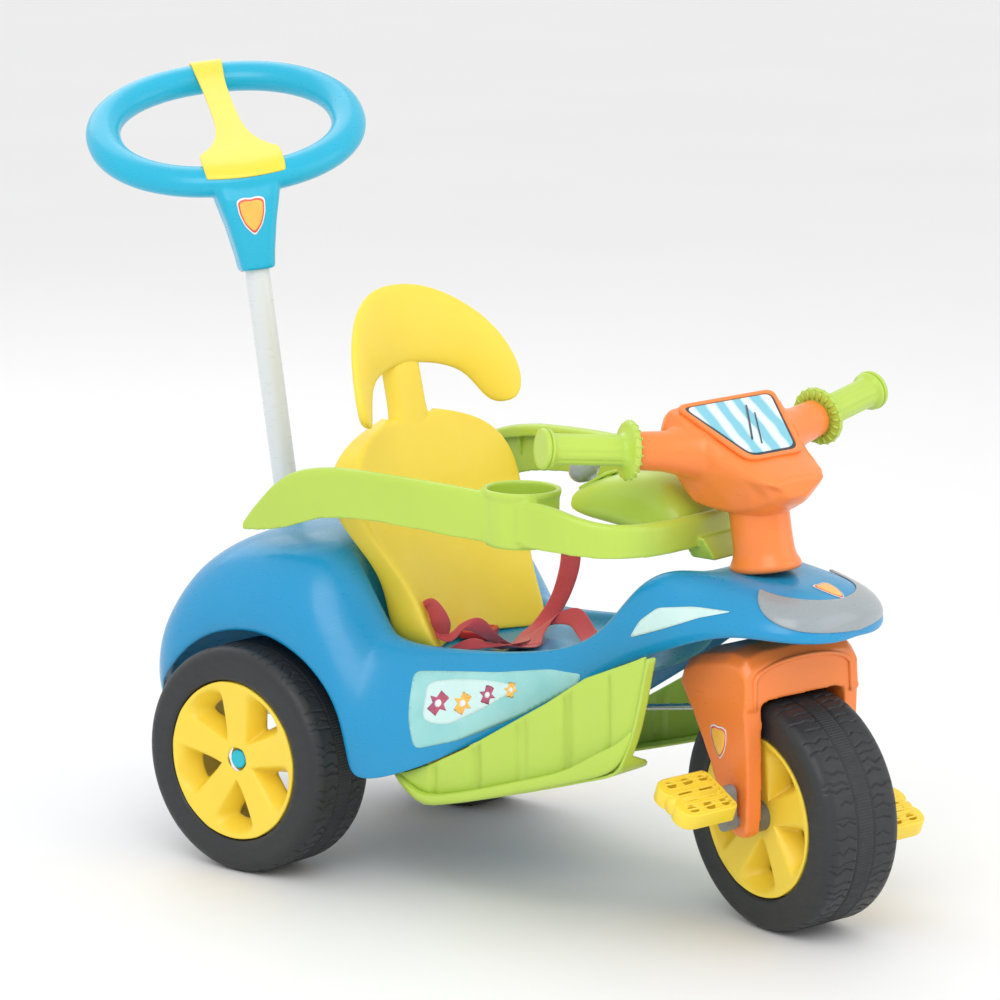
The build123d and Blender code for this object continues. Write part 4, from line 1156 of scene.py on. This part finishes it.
# windscreen panel with its printed sky
def screenPaint():
    material, tree, shader = newMaterial("screenPrint")
    coords = tree.nodes.new("ShaderNodeTexCoord")
    wave = tree.nodes.new("ShaderNodeTexWave")
    wave.wave_type = "BANDS"
    wave.bands_direction = "DIAGONAL"
    wave.inputs["Scale"].default_value = 22
    wave.inputs["Distortion"].default_value = 2.5
    wave.inputs["Detail"].default_value = 1.5
    link(tree, coords, "Object", wave, "Vector")
    ramp = tree.nodes.new("ShaderNodeValToRGB")
    ramp.color_ramp.elements[0].color = (0.18, 0.55, 0.68, 1)
    ramp.color_ramp.elements[0].position = 0.3
    ramp.color_ramp.elements[1].color = (0.74, 0.87, 0.90, 1)
    ramp.color_ramp.elements[1].position = 0.75
    link(tree, wave, "Fac", ramp, "Fac")
    link(tree, ramp, "Color", shader, "Base Color")
    shader.inputs["Roughness"].default_value = 0.12
    shader.inputs["Coat Weight"].default_value = 0.8
    return material


def makeScreen():
    slope = Vector((77, 0, -40)).normalized()
    across = Vector((0, 1, 0))
    origin = Vector((wheelbase - 60, 0, 475.0))
    wide = rounded([(-41, -54), (43, -28), (43, 28), (-41, 54)], 10)
    glass = rounded([(-38.5, -51), (40.5, -26), (40.5, 26), (-38.5, 51)], 9)
    dark = plastic("screenEdge", (0.03, 0.04, 0.05), 0.3)
    surround = rounded([(-46, -60), (48, -33), (48, 33), (-46, 60)], 13)
    plate("screenFrame", [surround, list(reversed(wide))], 5, 1.8,
        (origin + Vector((0, 0, 8.5)), slope, across),
                 orangePaint, "steering", (), steered)
    plate("screenEdge", [wide], 3, 0.4, (origin + Vector((0, 0, 8.2)), slope, across), dark, "steering", (),
        steered)
    plate("screenPanel", [glass], 1.6, 0.4, (origin + Vector((0, 0, 10.1)), slope, across), screenPaint(),
        "steering",
          ("windscreen_panel",), steered)
    normal = slope.cross(across)
    lift = origin + Vector((0, 0, 11.2)) + normal * 0.3
    arm = [lift + slope * a + across * b for a, b in ((30, -6), (10, 4), (-14, 16))]
    blade = [lift + slope * a + across * b for a, b in ((22, -12), (0, 0), (-26, 14))]
    wiper = joined([tube(spline(arm, 4), 0.7, 8), tube(spline(blade, 4), 1.0, 8)])
    newPiece("wiper", *wiper, dark, "steering", (), steered)


makeScreen()
print("screen made")


# push handle, drawn in line with the tube and turned with it
pushFoot = Vector(joints["push_bar_turn"]["pos_m"]) / mm
pushUp = Vector((-sin(radians(rake)), 0, cos(radians(rake))))
ring = dict(halfWide=129.0, halfDeep=110.0, section=15.5, broad=18.3, tilt=20.0, tubeTop=540.0)
ringFront = pushFoot + pushUp * (ring["tubeTop"] + 16)
ringX = Vector((cos(radians(ring["tilt"])), 0, -sin(radians(ring["tilt"]))))
ringZ = Vector((sin(radians(ring["tilt"])), 0, cos(radians(ring["tilt"]))))
ringCentre = ringFront - ringX * ring["halfDeep"]


def ringPoint(x, y, z=0.0):
    return ringCentre + ringX * x + Vector((0, y, 0)) + ringZ * z


def makeHandle():
    path = []
    for k in range(96):
        a = 2 * pi * k / 96
        c, s = cos(a), sin(a)
        path.append(
            ringPoint(
                ring["halfDeep"] * (abs(c) ** 0.93) * (1 if c > 0 else -1),
                ring["halfWide"] * (abs(s) ** 0.93) * (1 if s > 0 else -1),
            )
        )
    # the section is broader than it is tall
    verts, faces = tube(path, ring["broad"], 32, closed=True)
    squash = 1 - ring["section"] / ring["broad"]
    parts = [([v - ringZ * (v - ringCentre).dot(ringZ) * squash for v in verts], faces)]
    rows = []
    for rise, deep, wide in ((462, 17, 17), (464, 19, 19), (480, 19.5, 21), (510, 19, 27), (536, 18, 34),
        (556, 15, 38)):
        centre = pushFoot + pushUp * rise
        outline = rounded([(-deep, -wide), (deep, -wide * 0.93), (deep, wide * 0.93), (-deep, wide)], 10, 6)
        rows.append([centre + Vector((a, b, a * 0.17)) for a, b in outline])
    parts.append(skin(rows, closed=True, caps=True))
    moulding = fuse("handleMoulding", parts, handleBlue, "push_bar", ("handle_ring",), handled, voxel=1.5,
        rounds=8)
    # bridge: clip round the rear, strap, and a wide drape over the front
    rear, tall = ring["broad"] + 1.6, ring["section"] + 1.6
    gap, deep = ring["section"] + 1.4, ring["halfDeep"]
    rows = []
    for a in range(235, 75, -16):
        rows.append((-deep + rear * cos(radians(a)), tall * sin(radians(a)), 16.5))
    rows += [(17 - deep, 13.5, 15), (33 - deep, 12, 13.5), (-45, 12, 13), (-10, 12.5, 13), (20, 13.5, 14),
        (44, 14.5, 18)]
    rows += [(deep - 45, 15.5, 27), (deep - 33, 16.2, 38), (deep - 25, 16.5, 42), (deep - 13, 16.9, 42.5)]
    rows += [(deep, gap, 42.5), (deep + 9, 15, 42), (deep + 15.5, 10.6, 41.5)]
    grid = []
    for x, z, half in rows:
        line = []
        for share in (-1, -0.94, -0.5, 0, 0.5, 0.94, 1):
            y = share * half
            front = ring["halfDeep"] * (1 - sqrt(1 - min(1, (y / ring["halfWide"]) ** 2))) if x > 80 else 0
            line.append(ringPoint(x - front, y, z))
        grid.append(line)
    strap = newPiece("handleBridge", *skin(grid), trimYellow, "push_bar", ("handle_bridge",), handled)
    thicken(strap, 3.2, 0)
    soften(strap, 2)
    # bag hook
    middle = pushFoot + pushUp * (ring["tubeTop"] - 20)
    hookX = Vector((cos(radians(rake)), 0, sin(radians(rake))))
    line = [(-17, 24), (-34, 25), (-52, 25), (-68, 18), (-77, 0), (-68, -18), (-54, -25), (-40, -24.5),
        (-24, -23), (-17, -23)]
    grid = []
    for p in spline(line, 4):
        grid.append([middle + hookX * p.x + pushUp * p.y + Vector((0, y, 0))
            for y in (-13, -12, 0, 12, 13)])
    hook = newPiece("bagHook", *skin(grid), trimYellow, "push_bar", ("bag_hook",), handled)
    thicken(hook, 3.6, 0)
    soften(hook, 2)
    return moulding


handle = makeHandle()
print("handle made")


# footrests
foot = dict(inner=104.0, wide=50.0, wall=3.0)


def makeFootrest(side, word):
    low = [(168, 120), (180, 108), (204, 97), (240, 104), (276, 114), (340, 133), (400, 152), (436, 165),
        (447, 182)]
    low += [(456, 205), (463, 232), (469, 262), (473, 281)]
    high = [(178, 121), (216, 138), (252, 157), (304, 189), (353, 219), (400, 251), (448, 272), (470, 282)]
    # outer wall with upright grooves: columns along x, rows from the bottom edge up
    columns = []
    count = 84
    for i in range(count + 1):
        x = 170 + (471 - 170) * i / count
        bottom = min(along(low, x), along(high, x) - 1) if x > 168 else 120
        if x > 440:
            bottom = along([(440, 168), (447, 182), (456, 205), (463, 232), (469, 262), (471, 274)], x)
        top = along(high, x)
        groove = 0.0
        for spot, wide in ((214, 4.2), (262, 4.2), (270, 4.2), (318, 4.2), (326, 4.2), (374, 4.2),
            (382, 4.2), (428, 4.2)):
            groove = max(groove, 1 - abs(x - spot) / wide)
        columns.append((x, bottom, top, max(0.0, groove) * 4.2))
    rows = []
    for share in (0, 0.03, 0.1, 0.3, 0.5, 0.7, 0.9, 0.97, 1):
        row = []
        for x, bottom, top, groove in columns:
            fade = 1 if 0.05 < share < 0.95 else 0
            y = foot["inner"] + foot["wide"] - 7 * (1 - share) ** 2 - groove * fade - 4 * share
            row.append((x, side * y, bottom + (top - bottom) * share))
        rows.append(row)
    wall = newPiece(f"footWall_{word}", *skin(rows), limeGreen, "chassis", (f"footrest_{word}",))
    thicken(wall, 2.4, 1)
    # floor and front wall in one strip
    rows = []
    for x, z in spline(low, 3):
        # the strip is wide under the foot and only a flange up the front
        inner = foot["inner"] + 38 * min(1, max(0, (z - 168) / 14))
        rows.append([(x, side * y, z) for y in (inner, inner + 2, foot["inner"] + 48, foot["inner"] + 50)])
    strip = newPiece(f"footFloor_{word}", *skin(rows), limeGreen, "chassis")
    thicken(strip, foot["wall"], 1)
    # ledge along the bottom, curling up at the front
    ledge = [
        (168, 124, 116, 154),
        (182, 113, 103, 158),
        (204, 104, 93, 161),
        (240, 112, 101, 163),
        (276, 123, 111, 164),
        (330, 141, 128, 164),
        (380, 157, 144, 164),
        (412, 178, 155, 163),
        (436, 191, 164, 162),
        (448, 199, 180, 160),
        (458, 212, 203, 156),
    ]
    rows = []
    for x, top, bottom, out in ledge:
        y0 = foot["inner"] + foot["wide"] - 4
        tall = top - bottom
        section = [(y0, top), (out - 3, top), (out, top - min(2, tall * 0.2)),
            (out - 0.5, bottom + tall * 0.3)]
        section += [(out - 3, bottom), (y0, bottom)]
        rows.append([(x, side * y, z) for y, z in section])
    lip = newPiece(f"footLedge_{word}", *skin(rows, closed=True, caps=True), limeGreen, "chassis")
    soften(lip, 2)


for side, word in ((-1, "right"), (1, "left")):
    makeFootrest(side, word)
print("footrests made")


# pedals: slotted plates with a scalloped outer end
pedalTilt = 24.0


def makePedal(side, word):
    centre = Vector((frontAxle.x, side * 115, frontAxle.z - side * 30))
    spindle = Matrix.Translation(centre * mm)
    place = steered @ spindle @ Matrix.Rotation(radians(pedalTilt), 4, "Y") @ spindle.inverted()
    outline = [(-30, -27), (-30, 20), (-27, 29), (-18, 33), (-8, 32), (-2, 26), (2, 26), (8, 32), (18, 33),
        (27, 29), (30, 20)]
    outline += [(30, -27), (24, -31), (-24, -31)]
    outline = rounded(outline, 5)
    holes = [circle(a, b, r, 20) for a, b,
        r in ((-19, 17, 5), (19, 17, 5), (-19, -2, 5.5), (19, -2, 5.5), (-19, -20, 4.5),
                                                 (19, -20, 4.5))]
    holes.append(rounded([(-7, 2), (7, 2), (7, 18), (-7, 18)], 4))
    holes.append(rounded([(-7, -22), (7, -22), (7, -6), (-7, -6)], 4))
    holes = [list(reversed(h)) for h in holes]
    stand = (centre, (1, 0, 0), (0, side, 0))
    plate(f"pedalPlate_{word}", [outline] + holes, 17, 1.4, stand, trimYellow, f"pedal_{word}",
        (f"pedal_{word}",), place)
    parts = []
    rng = random.Random(3)
    for k in range(9):
        a = -26 + 6.5 * k
        for top in (-1, 1):
            pts = [centre + Vector((a + rng.uniform(-0.8, 0.8), side * b, top * 8.6))
                for b in (-26, -8, 8, 24)]
            parts.append(tube(spline(pts, 3), 1.15, 6))
    parts.append(tube([centre + Vector((0, side * b, 0)) for b in (-32, -31, 30, 31)], [7, 8.4, 8.4, 7],
        28))
    newPiece(f"pedalRibs_{word}", *joined(parts), trimYellow, f"pedal_{word}", (), place)


for side, word in ((-1, "right"), (1, "left")):
    makePedal(side, word)
print("pedals made")


# harness: red webbing lying loosely on the seat
def webbing():
    material, tree, shader = newMaterial("redWebbing")
    coords = tree.nodes.new("ShaderNodeTexCoord")
    wave = tree.nodes.new("ShaderNodeTexWave")
    wave.wave_type = "BANDS"
    wave.bands_direction = "DIAGONAL"
    wave.inputs["Scale"].default_value = 260
    wave.inputs["Distortion"].default_value = 0.6
    link(tree, coords, "Object", wave, "Vector")
    fuzz = noiseNode(tree, 500, 3)
    tone = mixColour(tree, (0.50, 0.035, 0.05), (0.78, 0.11, 0.13), wave, "Fac")
    tree.links.new(tone.outputs["Result"], shader.inputs["Base Color"])
    total = tree.nodes.new("ShaderNodeMath")
    total.operation = "ADD"
    link(tree, wave, "Fac", total, 0)
    link(tree, fuzz, "Fac", total, 1)
    bump = tree.nodes.new("ShaderNodeBump")
    bump.inputs["Strength"].default_value = 0.5
    bump.inputs["Distance"].default_value = 0.0004
    link(tree, total, "Value", bump, "Height")
    link(tree, bump, "Normal", shader, "Normal")
    shader.inputs["Roughness"].default_value = 0.75
    shader.inputs["Sheen Weight"].default_value = 0.4
    return material


redWebbing = webbing()


def ribbon(name, stops, width, replaced=()):
    # stops of (point, direction of the width)
    points = spline([p for p, _ in stops], 8)
    sides = spline([Vector(s).normalized() for _, s in stops], 8)
    rows = []
    for point, way in zip(points, sides):
        across = way.normalized() * width / 2
        rows.append([point - across, point - across * 0.5, point, point + across * 0.5, point + across])
    obj = newPiece(name, *skin(rows), redWebbing, "chassis", replaced)
    thicken(obj, 1.4, 0)
    soften(obj, 1)
    return obj


ribbon(
    "beltLeft",
    [
        ((196, 88, 318), (1, 0.25, 0)),
        ((194, 88, 292), (1, 0.2, 0)),
        ((186, 84, 262), (1, 0.3, 0.2)),
        ((178, 70, 238), (0.8, 0.7, 0.1)),
        ((182, 42, 230), (0.6, 0.8, 0)),
        ((196, 8, 229), (0.5, 0.85, 0.15)),
        ((206, -22, 231), (0.7, 0.6, 0.3)),
        ((190, -46, 236), (0.9, 0.2, -0.3)),
        ((170, -58, 229), (0.9, 0.3, 0)),
    ],
    23,
    ("belt_left",),
)
ribbon(
    "beltCrotch",
    [
        ((258, 46, 229), (0.4, 0.9, 0)),
        ((240, 58, 236), (0.3, 0.9, 0.3)),
        ((216, 68, 247), (0.2, 0.7, 0.7)),
        ((196, 58, 243), (0.4, 0.6, 0.6)),
        ((196, 30, 232), (0.7, 0.6, 0.3)),
        ((214, -6, 229), (0.8, 0.5, 0)),
        ((196, -30, 231), (0.8, -0.2, 0.3)),
        ((168, -8, 236), (0.6, -0.7, 0.3)),
        ((140, 4, 232), (0.5, -0.8, 0.1)),
    ],
    22,
    ("belt_crotch",),
)
ribbon(
    "beltRight",
    [
        ((112, -88, 276), (0.2, 0.3, 0.9)),
        ((118, -84, 288), (0.7, 0.3, 0.6)),
        ((124, -78, 276), (0.9, 0.2, 0.2)),
        ((118, -76, 258), (0.6, 0.5, -0.6)),
        ((130, -78, 262), (0.2, 0.2, 0.9)),
        ((146, -76, 274), (0.7, -0.2, 0.6)),
        ((156, -72, 258), (0.9, 0.3, 0)),
        ((150, -66, 242), (0.5, 0.6, -0.5)),
        ((168, -62, 246), (0.2, 0.5, 0.8)),
        ((184, -56, 256), (0.7, 0.4, 0.6)),
        ((196, -44, 244), (0.9, 0.4, 0)),
        ((200, -20, 231), (0.8, 0.5, 0)),
        ((214, 6, 230), (0.7, 0.7, 0)),
    ],
    22,
    ("belt_right",),
)


def makeBuckle():
    body = rounded([(-16, -21), (16, -21), (16, 21), (-16, 21)], 7)
    slots = [rounded([(-11, b - 2.5), (11, b - 2.5), (11, b + 2.5), (-11, b + 2.5)], 2) for b in (-13, 13)]
    red = plastic("buckleRed", (0.55, 0.02, 0.03), 0.35)
    tilt = ((146, 2, 232.5), (0.9, 0.35, 0), (-0.35, 0.9, 0))
    plate("beltBuckle", [body] + [list(reversed(s)) for s in slots], 8, 1.6, tilt, red, "chassis",
        ("belt_buckle",))


makeBuckle()
print("harness made")


# silver band and printed films, laid on the mouldings
def printPaint(name, low, high, scale):
    material, tree, shader = newMaterial(name)
    swirl = noiseNode(tree, scale, 2, 0.4)
    tone = mixColour(tree, low, high, swirl, "Fac")
    tree.links.new(tone.outputs["Result"], shader.inputs["Base Color"])
    rough = mapRange(tree, swirl, "Fac", 0.2, 0.34)
    link(tree, rough, "Result", shader, "Roughness")
    shader.inputs["Coat Weight"].default_value = 0.5
    return material


bodyPiece = bpy.data.objects["bodyShell"]
tealFilm = printPaint("tealFilm", (0.16, 0.52, 0.53), (0.42, 0.74, 0.72), 26)
paleFilm = printPaint("paleFilm", (0.50, 0.76, 0.74), (0.66, 0.84, 0.82), 30)
purpleFilm = printPaint("purpleFilm", (0.30, 0.06, 0.20), (0.62, 0.09, 0.10), 60)
amberFilm = printPaint("amberFilm", (0.95, 0.36, 0.05), (0.98, 0.66, 0.10), 40)
redFilm = printPaint("redFilm", (0.70, 0.05, 0.05), (0.86, 0.11, 0.06), 60)
whiteFilm = printPaint("whiteFilm", (0.72, 0.80, 0.82), (0.82, 0.88, 0.88), 30)


def makeBand():
    # silver headlight band round the nose, cut by height and angle
    deps = bpy.context.evaluated_depsgraph_get()
    tree = BVHTree.FromObject(bodyPiece, deps)
    centre = Vector((530, 0, 0))
    rows = []
    for k in range(-40, 41):
        turn = k / 40
        angle = radians(86 * turn)
        share = abs(turn)
        low = 303 + 8 * share + 28 * share**5
        high = 331 + 3 * share + 6 * share**2
        row = []
        for j in range(9):
            z = low + (high - low) * j / 8
            out = Vector((cos(angle), sin(angle), 0))
            start = (centre + out * 200 + Vector((0, 0, z))) * mm
            hit, normal, _, _ = tree.ray_cast(start, -out)
            bulge = 1.6 + 1.6 * sin(pi * j / 8)
            if hit is None:
                hit, normal = (centre + out * 60 + Vector((0, 0, z))) * mm, out
            if normal.dot(out) < 0:
                normal = -normal
            row.append((hit + normal * bulge * mm) / mm)
        rows.append(row)
    obj = newPiece("headlightBand", *skin(rows), silverPaint, "chassis", ("headlight_band",))
    thicken(obj, 1.8, -1)
    soften(obj, 1)


def star(x, y, big, small, points=5, turn=90):
    out = []
    for k in range(2 * points):
        r = big if k % 2 == 0 else small
        a = radians(turn + 180 * k / points)
        out.append((x + r * cos(a), y + r * sin(a)))
    return out


def shield(name, size, spot, aim, target, body, place=None):
    edge = [(-1, 0.85), (-0.5, 1), (0, 0.92), (0.5, 1), (1, 0.85), (0.92, 0.1), (0.6, -0.6), (0, -1.15),
        (-0.6, -0.6), (-0.92, 0.1)]
    layers = (("Edge", 1.0, 0.35, whiteFilm), ("Line", 0.9, 0.5, redFilm), ("Fill", 0.8, 0.65, amberFilm))
    for word, grow, lift, film in layers:
        outline = rounded([(a * size * 0.8 * grow, b * size * grow) for a, b in edge], size * 0.2)
        wrapped(name + word, outline, spot, aim, target, lift, film, body, 3.0, place)
    wrapped(name + "Star", star(0, 0, size * 0.5, size * 0.22), spot, aim, target, 0.85, redFilm, body, 2.5,
        place)


def makeFilms():
    for side, word in ((-1, "right"), (1, "left")):

        def spot(a, b):
            return (a, side * 260, b)

        aim = (0, -side, 0)
        panel = [(178, 222), (186, 180), (197, 150), (240, 163), (300, 193), (362, 232), (366, 243),
            (330, 243), (270, 232)]
        wrapped(f"panel_{word}", rounded(panel, 8), spot, aim, bodyPiece, 0.35, tealFilm, "chassis", 5.0)
        glow = [(196, 214), (201, 178), (226, 176), (262, 196), (300, 222), (270, 224), (230, 221)]
        wrapped(f"panelGlow_{word}", rounded(glow, 10), spot, aim, bodyPiece, 0.5, paleFilm, "chassis", 5.0)
        for k, (a, b, r, film) in enumerate(
            ((214, 196, 12, purpleFilm), (240, 199, 11, amberFilm), (265, 210, 9.5, purpleFilm),
                (290, 218, 8, amberFilm))
        ):
            wrapped(f"panelStar{k}_{word}", star(a, b, r, r * 0.5, 6, 90 + 10 * k), spot, aim, bodyPiece,
                0.65, film, "chassis", 3.0)
            wrapped(f"panelDot{k}_{word}", circle(a, b, r * 0.3, 16), spot, aim, bodyPiece, 0.8, whiteFilm,
                "chassis", 3.0)
        nose = [(417, 285), (427, 303), (444, 317), (480, 322), (522, 322), (490, 313), (450, 297)]
        wrapped(f"nosePanel_{word}", rounded(nose, 5), spot, aim, bodyPiece, 0.35, paleFilm, "chassis", 4.0)
        for k in range(3):
            a = 438 + 17 * k
            wrapped(f"noseDot{k}_{word}", star(a, 303 + 4 * k, 4.6, 2.2, 4, 45), spot, aim, bodyPiece, 0.55,
                redFilm, "chassis", 2.5)
    shield("noseShield", 15, lambda a, b: (575 - b, a, 500), (0, 0, -1), bodyPiece, "chassis")
    forkPiece = bpy.data.objects["forkMoulding"]
    shield("forkShield", 16, lambda a, b: (frontAxle.x - 24 + a, -200, frontAxle.z + 74 + b), (0, 1, 0),
        forkPiece, "steering", steered)

    def neck(a, b):
        return tuple(pushFoot + pushUp * (522 + b) + Vector((150, a, 0)))

    shield("handleShield", 19, neck, (-1, 0, 0), handle, "push_bar", handled)


makeBand()
makeFilms()
print("films made")
